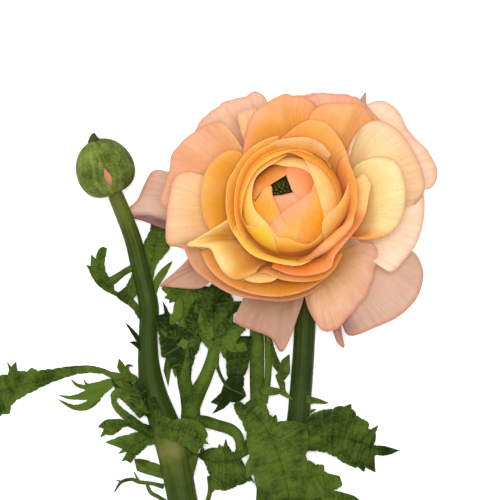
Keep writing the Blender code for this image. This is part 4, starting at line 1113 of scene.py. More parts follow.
# ---------------------------------------------------------------- leaves
# For each leaf: stalks as (x, y, z, half width) stations; outlined blades as (midrib stations, one side's
# outline, the other side's, tone), both outlines from base to tip; lobes as (stations, teeth a side, depth of
# the cuts, tone).
LEAVES = {
    "leaf_bud_left": (
        [
            [(-36.0, -5.2, 4.6, 1.1), (-38.5, -6.4, 5.2, 1.0), (-40.6, -7.8, 5.8, 1.05),
             (-42.8, -9.4, 6.0, 1.3), (-44.8, -10.6, 5.6, 1.2)],
        ],
        [
            (
                [(-41.0, -13.9, 4.0), (-45.0, -11.4, 4.6), (-47.2, -8.0, 6.2), (-47.0, -3.5, 7.5),
                 (-46.2, 0.6, 8.2), (-44.5, 0.4, 8.6)],
                [(-42.0, -14.4), (-44.0, -13.5), (-46.2, -12.2), (-47.6, -11.0), (-48.9, -9.2),
                 (-49.8, -7.6), (-50.3, -6.2), (-51.3, -4.6), (-49.8, -5.3), (-49.6, -1.3), (-48.2, -3.4),
                 (-47.9, -1.2), (-47.1, 0.4), (-46.2, 1.0), (-44.5, 0.4)],
                [(-41.9, -13.5), (-42.6, -12.5), (-42.8, -11.0), (-42.8, -9.9), (-43.7, -9.0),
                 (-44.5, -8.2), (-45.2, -6.8), (-45.6, -4.5), (-45.3, -2.5), (-45.0, -1.2), (-45.3, -0.2),
                 (-44.5, 0.4)],
                0.25,
            ),
            (
                [(-33.6, -19.5, 4.6), (-37.0, -15.4, 4.8), (-40.0, -14.2, 4.4), (-43.0, -13.6, 4.2)],
                [(-34.4, -22.0), (-36.3, -19.0), (-38.0, -17.3), (-40.0, -16.2), (-41.8, -14.6),
                 (-43.0, -13.6)],
                [(-33.5, -12.0), (-35.6, -8.0), (-36.9, -6.8), (-37.3, -8.5), (-38.0, -10.0),
                 (-38.8, -11.5), (-40.2, -12.6), (-41.5, -13.4), (-43.0, -13.6)],
                -0.1,
            ),
        ],
        [],
    ),
    "leaf_bud_right": (
        [],
        [
            (
                [(-32.5, -16.0, 5.6), (-31.3, -6.0, 3.6), (-29.5, 2.0, 1.8), (-28.5, 9.0, 0.9)],
                [(-34.2, -15.0), (-34.2, -6.0), (-34.0, 0.0), (-33.3, 2.1), (-32.4, 4.0), (-31.4, 6.0),
                 (-30.9, 8.4), (-28.5, 9.0)],
                [(-30.4, -14.0), (-30.4, -9.0), (-30.0, -6.6), (-29.4, -4.8), (-28.5, -3.3), (-27.0, -1.7),
                 (-25.4, 0.2), (-25.2, 1.8), (-25.2, 3.6), (-24.5, 6.2), (-26.4, 6.4), (-28.5, 9.0)],
                0.2,
            ),
        ],
        [
            (
                [(-30.6, -15.0, 5.2, 0.9), (-29.4, -10.5, 4.0, 1.1), (-27.4, -7.2, 3.0, 1.15),
                 (-24.3, -3.3, 1.6, 0.2)],
                0,
                0.0,
                0.3,
            ),
        ],
    ),
    "leaf_upper_node": (
        [],
        [
            (
                [(-38.5, -40.6, 6.2), (-44.0, -38.8, 6.8), (-50.0, -37.3, 7.4), (-57.0, -38.2, 6.8),
                 (-64.0, -40.2, 5.0), (-71.0, -42.3, 3.0), (-78.0, -44.5, 1.8), (-84.6, -45.8, 1.0)],
                [(-38.5, -39.0), (-43.5, -38.1), (-46.0, -37.0), (-50.0, -36.1), (-56.0, -36.4),
                 (-62.0, -37.4), (-66.5, -38.0), (-67.5, -37.4), (-68.6, -36.9), (-70.0, -38.2),
                 (-73.8, -38.3), (-74.6, -37.4), (-73.4, -35.0), (-75.0, -36.7), (-76.4, -35.2),
                 (-75.6, -37.6), (-76.0, -39.3), (-78.5, -39.5), (-80.5, -38.0), (-80.8, -41.0),
                 (-83.2, -41.0), (-82.8, -43.5), (-84.6, -45.8)],
                [(-38.5, -42.2), (-43.5, -40.0), (-46.0, -38.7), (-50.0, -38.3), (-54.0, -38.7),
                 (-58.0, -39.9), (-62.0, -41.3), (-66.0, -43.1), (-70.0, -45.1), (-73.5, -47.1),
                 (-75.2, -48.8), (-75.7, -51.6), (-78.0, -51.6), (-79.5, -53.2), (-80.4, -50.5),
                 (-82.6, -50.8), (-82.4, -48.0), (-84.6, -45.8)],
                0.25,
            ),
            (
                [(-40.5, -40.8, 5.6), (-46.0, -43.2, 5.8), (-50.0, -45.0, 4.6), (-54.0, -46.0, 3.2),
                 (-60.4, -45.7, 1.4)],
                [(-41.5, -40.0), (-44.0, -40.4), (-47.0, -41.2), (-50.5, -42.0), (-51.8, -44.2),
                 (-54.0, -45.2), (-57.0, -46.0), (-60.4, -45.7)],
                [(-41.0, -42.0), (-43.0, -42.8), (-45.5, -45.0), (-48.5, -47.6), (-50.5, -49.4),
                 (-51.2, -46.9), (-54.0, -47.0), (-57.5, -46.8), (-60.4, -45.7)],
                0.9,
            ),
        ],
        [
            (
                [(-47.5, -46.0, 5.0, 1.2), (-51.0, -48.8, 3.8, 1.3), (-55.5, -49.4, 2.4, 0.75),
                 (-60.7, -46.8, 1.4, 0.1)],
                0,
                0.0,
                0.5,
            ),
            (
                [(-48.5, -43.4, 5.2, 0.9), (-52.5, -42.9, 4.2, 0.65), (-54.6, -42.2, 3.6, 0.45),
                 (-56.2, -40.6, 3.0, 0.1)],
                0,
                0.0,
                0.4,
            ),
            ([(-48.5, -42.4, 5.2, 0.7), (-51.0, -42.2, 4.8, 0.4), (-52.2, -40.6, 4.4, 0.1)], 0, 0.0, 0.3),
            (
                [(-37.0, -41.6, 6.6, 2.2), (-39.2, -38.4, 7.2, 1.9), (-40.4, -36.2, 8.0, 1.2),
                 (-40.9, -33.8, 8.6, 0.1)],
                1,
                0.45,
                0.2,
            ),
            (
                [(-37.5, -41.0, 7.0, 1.8), (-38.6, -37.6, 7.4, 0.9), (-37.9, -36.1, 7.6, 0.5),
                 (-36.3, -36.4, 7.8, 0.1)],
                0,
                0.0,
                0.0,
            ),
            (
                [(-29.0, -52.0, 7.4, 2.0), (-33.6, -47.5, 7.6, 3.2), (-38.6, -43.4, 7.0, 3.0),
                 (-43.6, -40.4, 6.4, 0.9)],
                4,
                0.3,
                -0.6,
            ),
            ([(-34.0, -46.5, 8.6, 1.3), (-38.0, -42.6, 9.0, 1.8), (-42.6, -41.2, 7.8, 0.3)], 2, 0.45, 0.1),
            ([(-31.5, -51.0, 8.4, 1.2), (-35.5, -47.2, 9.0, 1.7), (-40.0, -46.2, 8.0, 0.3)], 2, 0.45, 0.35),
            ([(-32.5, -46.0, 8.8, 1.0), (-34.6, -42.0, 9.2, 1.6), (-37.6, -38.2, 8.2, 0.3)], 2, 0.45, -0.3),
            ([(-33.4, -30.6, 5.6, 0.8), (-36.0, -26.6, 5.0, 0.7), (-39.2, -22.6, 4.0, 0.1)], 0, 0.0, -0.9),
            ([(-33.6, -31.4, 5.8, 0.8), (-35.8, -29.4, 5.4, 0.7), (-37.8, -28.9, 4.8, 0.1)], 0, 0.0, -0.9),
            (
                [(-33.5, -52.0, 7.0, 1.2), (-37.5, -46.5, 7.4, 2.0), (-41.2, -44.6, 7.6, 1.5),
                 (-43.4, -46.8, 7.4, 0.8)],
                0,
                0.0,
                0.5,
            ),
        ],
    ),
    "leaf_lower_left": (
        [[(-30.0, -57.4, 5.6, 1.9), (-33.6, -55.8, 5.8, 1.5), (-37.0, -54.4, 5.4, 1.3)]],
        [
            (
                [(-36.5, -54.6, 5.2), (-41.0, -54.6, 4.4), (-44.5, -55.4, 2.8), (-47.9, -55.7, 1.4)],
                [(-37.5, -53.0), (-39.8, -53.2), (-42.0, -53.0), (-45.3, -53.3), (-46.7, -54.4),
                 (-47.9, -55.7)],
                [(-36.0, -55.8), (-38.5, -55.3), (-40.0, -55.6), (-42.0, -57.4), (-43.0, -58.2),
                 (-45.3, -58.0), (-47.2, -59.0), (-45.6, -56.3), (-47.9, -55.7)],
                0.1,
            ),
            (
                [(-29.0, -58.2, 6.0), (-33.5, -59.8, 5.0), (-37.4, -62.2, 3.2), (-40.4, -66.5, 1.2)],
                [(-29.4, -56.4), (-33.0, -57.0), (-35.5, -57.2), (-38.0, -58.0), (-42.6, -59.3),
                 (-45.5, -60.4), (-42.0, -60.5), (-39.5, -60.5), (-39.3, -62.0), (-41.5, -64.1),
                 (-38.6, -62.9), (-37.3, -62.2), (-38.4, -64.8), (-40.4, -66.5)],
                [(-28.6, -60.4), (-32.2, -61.2), (-34.0, -63.0), (-35.8, -64.5), (-36.6, -65.6),
                 (-37.6, -67.0), (-38.0, -65.9), (-40.4, -66.5)],
                0.5,
            ),
        ],
        [
            (
                [(-33.4, -55.6, 6.2, 1.0), (-37.8, -52.6, 6.6, 1.2), (-41.2, -49.8, 6.8, 1.1),
                 (-42.6, -47.2, 7.0, 0.9), (-41.6, -45.4, 7.8, 0.9), (-39.4, -45.8, 8.4, 0.3)],
                0,
                0.0,
                0.3,
            ),
            (
                [(-25.5, -70.0, 5.0, 2.2), (-29.5, -69.4, 4.4, 2.4), (-33.4, -68.0, 3.6, 2.6),
                 (-36.4, -65.6, 2.8, 0.3)],
                1,
                0.12,
                0.4,
            ),
        ],
    ),
    "leaf_lower_front": (
        [],
        [
            (
                [(-29.5, -54.6, 9.6), (-24.0, -55.6, 10.6), (-18.5, -57.6, 10.2), (-12.7, -60.7, 9.0)],
                [(-29.0, -51.5), (-24.0, -53.0), (-19.0, -52.6), (-15.0, -54.4), (-13.7, -56.4),
                 (-13.2, -58.0), (-14.1, -58.9), (-12.7, -60.7)],
                [(-30.0, -56.8), (-26.0, -58.6), (-22.5, -59.6), (-19.5, -61.5), (-16.4, -64.2),
                 (-15.6, -61.6), (-14.6, -62.8), (-14.7, -60.4), (-12.7, -60.7)],
                0.4,
            ),
        ],
        [
            (
                [(-20.0, -58.0, 9.6, 1.6), (-18.6, -62.5, 9.0, 1.9), (-17.4, -67.0, 7.6, 1.5),
                 (-17.8, -71.4, 6.0, 0.2)],
                1,
                0.2,
                -0.2,
            ),
            ([(-30.5, -46.0, 9.2, 0.8), (-29.0, -50.0, 9.8, 1.2), (-28.0, -55.0, 10.0, 0.9)], 0, 0.0, 0.0),
        ],
    ),
    "leaf_fork": (
        [
            [(-18.8, -55.0, 5.4, 2.9), (-18.6, -50.0, 5.6, 2.8), (-19.6, -45.0, 5.8, 2.3),
             (-20.6, -40.5, 5.8, 2.1), (-20.0, -35.0, 5.8, 1.8), (-19.6, -30.0, 5.6, 1.4)],
            [(-18.0, -49.5, 5.4, 2.2), (-16.2, -44.5, 5.4, 2.3), (-13.8, -39.5, 5.2, 2.0),
             (-11.8, -33.5, 5.2, 1.7), (-11.2, -28.0, 5.0, 1.3)],
        ],
        [
            (
                [(-20.0, -28.0, 5.6), (-20.6, -21.0, 5.4), (-22.2, -15.5, 3.6), (-26.8, -10.4, 1.6)],
                [(-23.2, -27.0), (-22.4, -22.5), (-22.3, -20.3), (-23.8, -19.3), (-21.9, -18.2),
                 (-22.6, -16.7), (-24.0, -16.2), (-25.5, -16.6), (-25.2, -15.6), (-27.0, -15.0),
                 (-25.9, -14.0), (-27.8, -12.3), (-26.8, -10.4)],
                [(-16.6, -27.0), (-16.4, -20.0), (-17.0, -14.0), (-19.0, -11.0), (-22.0, -9.0),
                 (-26.8, -10.4)],
                0.4,
            ),
            (
                [(-19.2, -38.0, 6.4), (-20.5, -32.0, 6.6), (-23.5, -26.0, 6.4), (-26.0, -20.5, 5.4),
                 (-27.4, -16.0, 4.4)],
                [(-20.5, -39.4), (-22.8, -40.2), (-23.2, -37.0), (-25.6, -37.4), (-25.0, -34.0),
                 (-27.7, -33.4), (-28.0, -30.0), (-28.3, -27.0), (-29.6, -20.8), (-27.9, -22.8),
                 (-26.8, -21.9), (-26.8, -19.5), (-27.4, -16.0)],
                [(-18.6, -40.0), (-18.2, -36.5), (-17.2, -33.0), (-15.8, -30.4), (-15.6, -27.6),
                 (-19.0, -25.0), (-22.3, -24.0), (-23.2, -23.0), (-24.3, -21.2), (-25.6, -19.3),
                 (-26.2, -17.8), (-27.4, -16.0)],
                -0.6,
            ),
            (
                [(-12.4, -36.0, 6.0), (-11.5, -30.0, 6.0), (-11.2, -23.0, 5.4), (-11.0, -16.0, 4.4),
                 (-10.6, -9.5, 3.0)],
                [(-13.8, -37.5), (-12.7, -33.0), (-12.8, -31.0), (-14.4, -29.3), (-16.0, -26.0),
                 (-16.6, -21.0), (-17.4, -17.0), (-17.6, -12.0), (-15.6, -11.4), (-14.3, -12.6),
                 (-13.4, -14.0), (-12.4, -11.0), (-10.6, -9.5)],
                [(-10.4, -37.5), (-9.7, -33.0), (-9.3, -28.0), (-8.8, -24.5), (-8.3, -22.0), (-5.8, -20.3),
                 (-3.6, -18.6), (-2.6, -16.0), (-5.2, -16.2), (-6.4, -13.6), (-7.6, -12.4), (-8.4, -10.4),
                 (-9.6, -10.4), (-10.6, -9.5)],
                0.0,
            ),
        ],
        [
            (
                [(-24.5, -29.0, 5.0, 1.4), (-25.6, -33.5, 4.4, 1.5), (-26.2, -38.0, 3.4, 0.9),
                 (-25.7, -43.0, 2.4, 0.1)],
                1,
                0.35,
                -0.2,
            ),
            (
                [(-17.4, -30.0, 5.0, 1.4), (-16.4, -26.0, 4.8, 2.8), (-17.0, -20.0, 4.4, 2.4),
                 (-16.6, -13.5, 3.6, 0.4)],
                2,
                0.2,
                -0.7,
            ),
            (
                [(-20.0, -28.0, 6.8, 1.6), (-22.4, -31.5, 6.4, 1.9), (-23.6, -35.5, 5.4, 1.3),
                 (-23.4, -40.0, 4.4, 0.1)],
                2,
                0.35,
                0.6,
            ),
            ([(-19.0, -34.0, 6.6, 1.4), (-20.8, -36.0, 6.0, 1.5), (-21.8, -40.2, 5.0, 0.2)], 1, 0.3, -0.3),
            ([(-22.0, -27.0, 7.0, 1.3), (-24.6, -26.6, 7.2, 2.0), (-28.6, -24.6, 6.2, 0.2)], 2, 0.4, -0.2),
            ([(-18.6, -26.0, 6.6, 1.6), (-18.0, -21.0, 6.4, 2.4), (-16.8, -15.6, 5.4, 0.4)], 2, 0.35, -0.5),
            ([(-12.0, -28.0, 6.8, 1.6), (-14.2, -23.5, 6.6, 2.4), (-15.6, -18.0, 6.0, 0.4)], 2, 0.35, 0.2),
            ([(-10.6, -27.0, 6.6, 1.4), (-7.6, -23.5, 6.4, 2.0), (-5.2, -19.4, 5.4, 0.5)], 2, 0.35, -0.4),
            ([(-24.5, -23.5, 6.6, 1.3), (-22.4, -18.6, 5.8, 2.0), (-22.0, -14.4, 4.2, 0.5)], 2, 0.35, 0.6),
            ([(-21.4, -40.0, 6.6, 1.4), (-20.8, -35.0, 6.8, 1.7), (-19.4, -29.0, 6.6, 0.6)], 2, 0.25, -0.6),
        ],
    ),
    "leaf_behind_bloom": (
        [
            [(-1.2, -108.8, 4.6, 1.5), (-0.6, -103.0, 3.6, 2.1), (2.0, -90.0, 2.9, 2.2),
             (4.4, -77.0, 3.1, 2.3), (3.8, -65.0, 3.4, 2.3), (2.6, -52.0, 3.8, 2.2),
             (2.2, -40.0, 4.2, 2.15), (2.2, -28.0, 3.8, 2.1), (1.8, -18.0, 2.4, 1.8)],
            [(4.2, -48.0, 4.6, 1.3), (5.6, -40.0, 4.6, 1.0), (5.8, -30.0, 4.4, 1.1),
             (5.2, -20.0, 3.4, 1.0)],
        ],
        [
            (
                [(-1.6, -36.0, 5.2), (-4.6, -30.5, 5.6), (-6.2, -26.0, 5.6), (-5.9, -22.0, 5.2)],
                [(-8.0, -34.0), (-9.2, -31.0), (-9.4, -27.0), (-8.8, -23.5), (-7.3, -24.2), (-5.9, -22.0)],
                [(0.6, -34.0), (-0.8, -31.2), (-1.5, -29.0), (-2.3, -28.8), (-3.2, -30.2), (-4.2, -30.4),
                 (-4.3, -28.4), (-2.9, -26.4), (-1.2, -24.7), (-3.2, -23.9), (-4.8, -22.8), (-5.9, -22.0)],
                0.1,
            ),
            (
                [(-3.2, -27.0, 4.6), (-4.4, -37.0, 6.4), (-5.4, -42.5, 7.0), (-8.2, -46.6, 6.0),
                 (-11.8, -51.4, 4.6)],
                [(-8.6, -26.0), (-7.4, -35.0), (-6.9, -40.0), (-8.3, -42.2), (-9.1, -44.8), (-10.4, -46.0),
                 (-12.4, -47.8), (-10.0, -48.5), (-11.8, -51.4)],
                [(0.6, -27.0), (-0.5, -36.0), (-2.0, -39.5), (-2.2, -43.0), (-1.2, -45.6), (-3.3, -47.4),
                 (-5.0, -47.6), (-6.2, -47.5), (-7.4, -48.8), (-8.5, -49.8), (-11.8, -51.4)],
                -0.6,
            ),
        ],
        [
            (
                [(3.0, -44.5, 6.2, 1.6), (7.0, -44.0, 6.6, 1.5), (10.5, -44.6, 7.0, 0.9),
                 (13.6, -47.0, 7.2, 0.3)],
                2,
                0.3,
                0.1,
            ),
            (
                [(10.6, -45.0, 5.8, 0.9), (9.6, -41.0, 5.4, 1.4), (10.4, -37.4, 5.0, 2.3),
                 (12.4, -32.6, 4.4, 0.3)],
                2,
                0.35,
                0.2,
            ),
            (
                [(5.6, -27.0, 4.6, 1.0), (6.6, -32.0, 4.6, 1.3), (8.4, -36.0, 4.8, 1.2),
                 (10.6, -39.6, 5.0, 0.5)],
                0,
                0.0,
                -0.2,
            ),
            (
                [(-10.6, -30.0, 4.8, 0.9), (-10.3, -36.0, 4.6, 0.55), (-9.0, -39.8, 4.8, 0.5),
                 (-7.0, -43.0, 5.4, 0.5)],
                0,
                0.0,
                -0.6,
            ),
        ],
    ),
    "leaf_right_wing": (
        [[(14.0, -60.0, 5.8, 2.0), (18.0, -59.6, 6.0, 1.8), (22.0, -59.0, 5.6, 1.2)]],
        [
            (
                [(15.5, -59.0, 6.2), (22.0, -58.6, 5.8), (28.0, -58.8, 4.8), (34.0, -60.4, 3.4),
                 (39.0, -62.4, 2.2), (47.2, -63.1, 1.0)],
                [(16.5, -53.5), (18.7, -51.9), (21.0, -50.8), (24.0, -50.0), (26.0, -49.9), (27.3, -49.0),
                 (29.5, -49.1), (31.7, -48.2), (31.8, -49.8), (33.0, -50.8), (33.3, -52.0), (35.0, -53.0),
                 (37.4, -54.5), (36.9, -56.2), (38.0, -56.4), (40.5, -55.0), (39.4, -57.6), (39.2, -59.9),
                 (37.5, -60.4), (38.4, -61.3), (40.0, -61.5), (43.0, -61.8), (47.2, -63.1)],
                [(16.0, -63.0), (18.6, -62.8), (21.0, -62.8), (24.0, -63.3), (27.0, -64.8), (30.0, -67.0),
                 (32.0, -68.0), (33.3, -68.5), (33.7, -67.9), (35.9, -69.8), (36.2, -68.2), (39.5, -69.9),
                 (38.4, -67.0), (38.2, -64.6), (40.0, -64.4), (42.5, -64.6), (45.0, -64.0), (47.2, -63.1)],
                -0.25,
            ),
        ],
        [
            (
                [(14.5, -45.4, 6.4, 1.6), (18.0, -46.6, 6.2, 1.5), (21.5, -47.6, 5.0, 1.0),
                 (24.8, -48.0, 3.8, 0.1)],
                2,
                0.35,
                0.2,
            ),
            ([(16.0, -51.5, 5.8, 1.0), (18.5, -50.8, 5.0, 0.7), (20.8, -49.9, 4.2, 0.1)], 0, 0.0, -0.1),
        ],
    ),
    "leaf_right_front": (
        [],
        [
            (
                [(12.5, -78.0, 8.6), (10.2, -68.0, 10.0), (7.4, -60.0, 10.2), (3.2, -53.0, 9.2),
                 (-1.8, -48.4, 7.6)],
                [(5.0, -79.0), (2.3, -74.5), (1.4, -71.0), (0.8, -66.0), (-0.6, -62.0), (-1.0, -57.0),
                 (-2.4, -53.5), (-4.7, -50.0), (-5.0, -48.0), (-3.0, -47.4), (-1.8, -48.4)],
                [(16.5, -78.0), (17.8, -70.0), (17.4, -64.0), (18.2, -58.5), (17.6, -54.4), (15.0, -53.6),
                 (12.5, -53.4), (8.6, -53.7), (8.1, -51.2), (7.2, -52.2), (6.0, -51.4), (5.4, -49.4),
                 (4.8, -47.4), (1.0, -46.2), (-1.8, -48.4)],
                0.1,
            ),
            (
                [(12.0, -79.0, 8.0), (16.5, -72.6, 8.0), (21.0, -70.6, 6.2), (28.2, -71.0, 3.4)],
                [(14.0, -68.0), (16.8, -65.6), (18.7, -66.0), (20.5, -67.3), (23.3, -67.6), (22.1, -68.8),
                 (24.5, -70.0), (28.2, -71.0)],
                [(15.0, -81.0), (19.0, -78.0), (23.0, -76.5), (26.5, -75.2), (29.0, -73.7), (26.2, -72.2),
                 (28.2, -71.0)],
                0.3,
            ),
        ],
        [
            (
                [(12.6, -84.0, 8.4, 2.0), (17.0, -79.6, 8.0, 3.0), (23.0, -77.6, 6.4, 3.0),
                 (29.0, -77.2, 4.6, 1.9), (36.0, -79.6, 2.6, 0.2)],
                3,
                0.3,
                -0.2,
            ),
            ([(4.0, -60.0, 9.4, 2.4), (1.5, -66.0, 9.2, 2.6), (-1.2, -71.5, 7.6, 0.8)], 2, 0.25, 0.5),
        ],
    ),
    "leaf_low_middle": (
        [
            [(-20.0, -54.4, 6.6, 1.8), (-15.0, -53.6, 6.4, 1.8), (-10.0, -54.9, 6.2, 1.7),
             (-6.0, -56.2, 6.0, 1.7), (-3.6, -58.6, 5.8, 1.5), (-2.9, -63.0, 5.4, 1.3)],
            [(-12.8, -71.0, 3.6, 0.7), (-12.6, -76.0, 3.2, 0.7), (-14.4, -82.0, 2.8, 0.7)],
        ],
        [
            (
                [(0.5, -63.0, 5.8), (-4.0, -65.6, 5.6), (-8.5, -66.4, 5.0), (-13.0, -66.0, 4.4),
                 (-17.0, -64.5, 3.8)],
                [(0.0, -59.0), (-3.6, -61.0), (-4.7, -63.4), (-5.9, -63.2), (-7.0, -61.2), (-7.6, -59.2),
                 (-8.2, -61.6), (-9.0, -61.5), (-9.7, -60.8), (-10.0, -62.2), (-12.5, -62.2),
                 (-14.2, -63.0), (-15.2, -61.0), (-15.8, -63.6), (-17.0, -64.5)],
                [(1.6, -73.2), (0.6, -72.2), (-0.8, -72.4), (-2.0, -73.3), (-4.0, -73.7), (-6.0, -74.8),
                 (-8.0, -75.5), (-9.5, -75.1), (-11.0, -75.1), (-12.2, -76.4), (-12.5, -73.0),
                 (-12.5, -70.5), (-13.5, -68.0), (-14.5, -66.2), (-17.0, -64.5)],
                -0.15,
            ),
        ],
        [],
    ),
    "leaf_low_left": (
        [
            [(-27.0, -74.2, 4.6, 0.8), (-31.0, -73.2, 4.4, 0.55), (-34.8, -72.8, 4.0, 0.6),
             (-37.2, -72.0, 3.6, 0.55), (-40.4, -72.9, 3.2, 0.5), (-42.6, -76.0, 2.6, 0.2)],
            [(-34.6, -72.9, 4.0, 0.5), (-35.4, -71.6, 4.2, 0.35), (-36.4, -69.5, 4.4, 0.15)],
            [(-40.2, -72.9, 3.2, 0.35), (-42.0, -72.2, 3.2, 0.15)],
            [(-32.4, -73.2, 4.2, 0.5), (-31.2, -76.0, 3.8, 0.6), (-28.6, -77.6, 3.6, 0.6),
             (-25.5, -79.5, 3.8, 0.6)],
        ],
        [],
        [],
    ),
}


def toothed(stations, teeth, depth, seed):
    """The two outlines of a lobe along its stations. Each tooth is a cut, nearer the midrib by the depth,
    and a point further on at the full half width; without teeth the outline follows the half width."""
    path = smooth_path(stations, 61)
    heading = np.gradient(path[:, :2], axis=0)
    heading /= np.linalg.norm(heading, axis=1, keepdims=True)
    sideways = np.stack((-heading[:, 1], heading[:, 0]), axis=1)
    outlines = []
    for side in (1, -1):
        if teeth:
            number = np.arange(teeth)
            wobble = 0.25 * np.sin(3.1 * seed + 5.3 * number + side) / teeth
            place = np.stack((number + 0.02, number + 0.78), axis=1) / teeth * 0.86 + wobble[:, None]
            wide = np.tile((1 - depth, 1.0), teeth)
        else:
            place, wide = np.linspace(0, 0.9, 9), np.ones(9)
        place = np.clip(place.ravel(), 0, 0.97) * 60
        middle = np.stack([np.interp(place, np.arange(61), path[:, i]) for i in range(4)], axis=1)
        out = np.stack([np.interp(place, np.arange(61), sideways[:, i]) for i in range(2)], axis=1)
        outline = middle[:, :2] + side * out * (middle[:, 3] * wide)[:, None]
        outlines.append(np.vstack((outline, path[-1, :2])))
    return path[:, :3], outlines


LONG_STEP = 1.7  # between two outline points; a longer step is scalloped and a shorter one rounded
SCALLOPED = (0.0, 0.6, 1.0, 0.5, 1.0, 0.7)  # how far the margin swells on its way from a point to the next
ROUNDED = (0.0, 0.5, 0.85, 1.0, 0.85, 0.5)
LEAF_FLOOR = 0.45  # the lowest that a blade's middle may lie


def half_blade(spine, outline, seed):
    """One half of a blade between its midrib and a toothed outline. Every outline point is joined to the
    nearest place on the midrib, but a tooth's point to the middle of its own base. The blade rises a
    little from the midrib, sags between the veins that run to the teeth, and ripples."""
    outline = np.array(outline, float)
    gaps = np.linalg.norm(outline[:, None] - spine[None, :, :2], axis=-1)
    place, reach = gaps.argmin(axis=1) / (len(spine) - 1), gaps.min(axis=1)
    tip = np.zeros(len(outline))
    tip[1:-1] = (reach[1:-1] > reach[:-2] + 0.1) & (reach[1:-1] > reach[2:] + 0.1)
    place[1:-1] = np.where(tip[1:-1] > 0, (place[:-2] + place[2:]) / 2, place[1:-1])
    place[-1] = tip[-1] = 1.0
    place = np.maximum.accumulate(place)
    steps = np.linspace(0, len(outline) - 1, 6 * (len(outline) - 1) + 1)
    corners = np.arange(len(outline))
    rim = np.stack([np.interp(steps, corners, outline[:, i]) for i in range(2)], axis=1)
    step = np.diff(outline, axis=0)
    long = np.linalg.norm(step, axis=1, keepdims=True)
    away = np.stack((-step[:, 1], step[:, 0]), axis=1) / np.maximum(long, 1e-6)
    middles = (outline[1:] + outline[:-1]) / 2
    inner = spine[np.linalg.norm(middles[:, None] - spine[None, :, :2], axis=-1).argmin(axis=1), :2]
    away *= np.sign(np.sum(away * (middles - inner), axis=1, keepdims=True))
    bulge = np.where(long > LONG_STEP, SCALLOPED, ROUNDED) * np.minimum(0.12 * long, 0.34)
    pointed = np.maximum(tip[:-1], tip[1:])[:, None]
    clear = np.minimum(np.linalg.norm(middles - inner, axis=1, keepdims=True) / 2.5, 1.0)
    bulge = bulge * clear * (1 - 0.6 * pointed)
    rim[:-1] += (bulge[..., None] * away[:, None]).reshape(-1, 2)
    up, vein = np.interp(steps, corners, place), np.interp(steps, corners, tip)
    marks = np.arange(len(spine))
    root = np.stack([np.interp(up * marks[-1], marks, spine[:, i]) for i in range(3)], axis=1)
    out = np.linspace(0, 1, 9)[None]
    plan = root[:, None, :2] + (rim - root[:, :2])[:, None] * out[..., None]
    wide = np.minimum(np.linalg.norm(rim - root[:, :2], axis=1), 5.0)[:, None]
    rise = root[:, 2:] + 0.08 * wide * out - 0.05 * wide * (1 - vein[:, None]) * np.sin(np.pi * out)
    rise = rise + 0.07 * wide * ripple(up[:, None] * 3 + out, seed, 4.0) * out - 0.05 * wide * out**3
    points = np.concatenate((plan, np.maximum(rise, LEAF_FLOOR)[..., None]), axis=-1)
    places = np.stack(np.broadcast_arrays(out, up[:, None], 1 - vein[:, None] * np.ones_like(out)), axis=-1)
    if np.sum(normals_of(points)[..., 2]) < 0:
        points, places = points[:, ::-1], places[:, ::-1]
    return points, places


def leaf_parts(stalks, blades, lobes, seed):
    """The halves of a leaf's blades and lobes as closed sheets, and its stalks and midribs as tubes."""
    parts, places, tones, ribs, sides = [], [], [], [], []
    for stations in stalks:
        ribs.append((smooth_path(stations, 12 * len(stations)), 0.75, 0.05))
    for number, (stations, one, other, tone) in enumerate(blades):
        sides.append((smooth_path(stations, 81), (one, other), seed + number, tone))
    for number, (stations, teeth, depth, tone) in enumerate(lobes):
        sides.append((*toothed(stations, teeth, depth, seed + number), seed + 7.0 + number, tone))
    for spine, outlines, mark, tone in sides:
        for outline in outlines:
            points, here = half_blade(spine, outline, mark)
            margin = np.minimum(1 - here[..., 0], 1 - here[..., 1])
            wall = BLADE_EDGE + (BLADE_THICK - BLADE_EDGE) * smooth(margin / 0.25)
            parts.append(sheet(points, wall))
            places += [here.reshape(-1, 3)] * 2
            tones.append(np.full((len(parts[-1][0]), 3), tone))
        width = np.linspace(0.36, 0.10, len(spine))
        ribs.append((np.column_stack((spine - (0, 0, 0.12), width)), 0.8, tone + 0.1))
    for path, flat, tone in ribs:
        vertices, faces, _ = tube(path[:, :3], path[:, 3], 16, ribs=(4, 0.05), flat=flat)
        places.append(np.broadcast_to(np.array((0.5, 0.3, 0.6)), (len(vertices), 3)))
        tones.append(np.full((len(vertices), 3), tone))
        parts.append((vertices, faces))
    return parts, {"blade_place": np.concatenate(places), "blade_tone": np.concatenate(tones)}


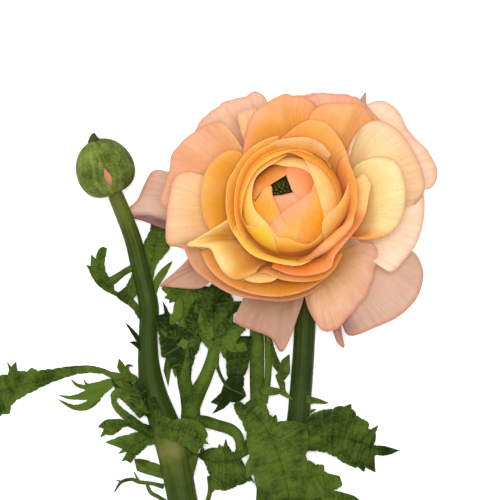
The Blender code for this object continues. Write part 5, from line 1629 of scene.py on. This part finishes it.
def make_leaves():
    """The leaves of the table, each one piece with its stalk."""
    green = leaf_finish("leaf_green", (0.007, 0.017, 0.001), (0.080, 0.130, 0.014), (0.12, 0.17, 0.03))
    for number, (name, (stalks, blades, lobes)) in enumerate(LEAVES.items()):
        parts, places = leaf_parts(stalks, blades, lobes, 10.0 * number)
        add_piece(name, [name], parts, places, green)


# ---------------------------------------------------------------- table, light and camera
VIEW_WIDTH, VIEW_DISTANCE = 0.155, 0.9  # metres: what the camera sees across, and from how far
VIEW_PLANE = 0.015  # height of the plane on which it sees that much
SENSOR = 36.0
DAYLIGHT = 0.50  # strength of the pale surroundings
# Name, place, size, power.
LAMPS = (("front", (0.02, 0.10, 1.35), 0.4, 15.8), ("key", (-0.55, 0.5, 1.0), 0.7, 5.0))
LAMP_AIM = Vector((0, 0.04, 0.02))


def make_stage():
    """The pale table, two soft lamps, pale surroundings and a camera that looks straight down."""
    bpy.ops.mesh.primitive_plane_add(size=6.0, location=(0, 0, 0))
    table = bpy.context.object
    table.name = "table"
    table.data.materials.append(table_finish())
    world = bpy.data.worlds.new("studio")
    world.use_nodes = True
    world.node_tree.nodes["Background"].inputs["Color"].default_value = (1.0, 1.0, 1.0, 1.0)
    world.node_tree.nodes["Background"].inputs["Strength"].default_value = DAYLIGHT
    bpy.context.scene.world = world
    for name, place, size, power in LAMPS:
        light = bpy.data.lights.new(name, "AREA")
        light.size = size
        light.energy = power
        lamp = bpy.data.objects.new(name, light)
        lamp.location = place
        lamp.rotation_euler = (LAMP_AIM - Vector(place)).to_track_quat("-Z", "Y").to_euler()
        bpy.context.scene.collection.objects.link(lamp)
    camera = bpy.data.cameras.new("camera")
    camera.sensor_width = SENSOR
    camera.lens = SENSOR * VIEW_DISTANCE / VIEW_WIDTH
    camera.clip_start = 0.01
    eye = bpy.data.objects.new("camera", camera)
    eye.location = (-FOOTPRINT_CENTRE[0] * MM, -FOOTPRINT_CENTRE[1] * MM, VIEW_DISTANCE + VIEW_PLANE)
    bpy.context.scene.collection.objects.link(eye)
    bpy.context.scene.camera = eye
    bpy.context.scene.view_settings.view_transform = "Standard"


def main():
    """Makes the whole plant and its stage."""
    make_bloom()
    make_carpels()
    make_bud()
    make_stems()
    make_leaves()
    make_stage()


main()
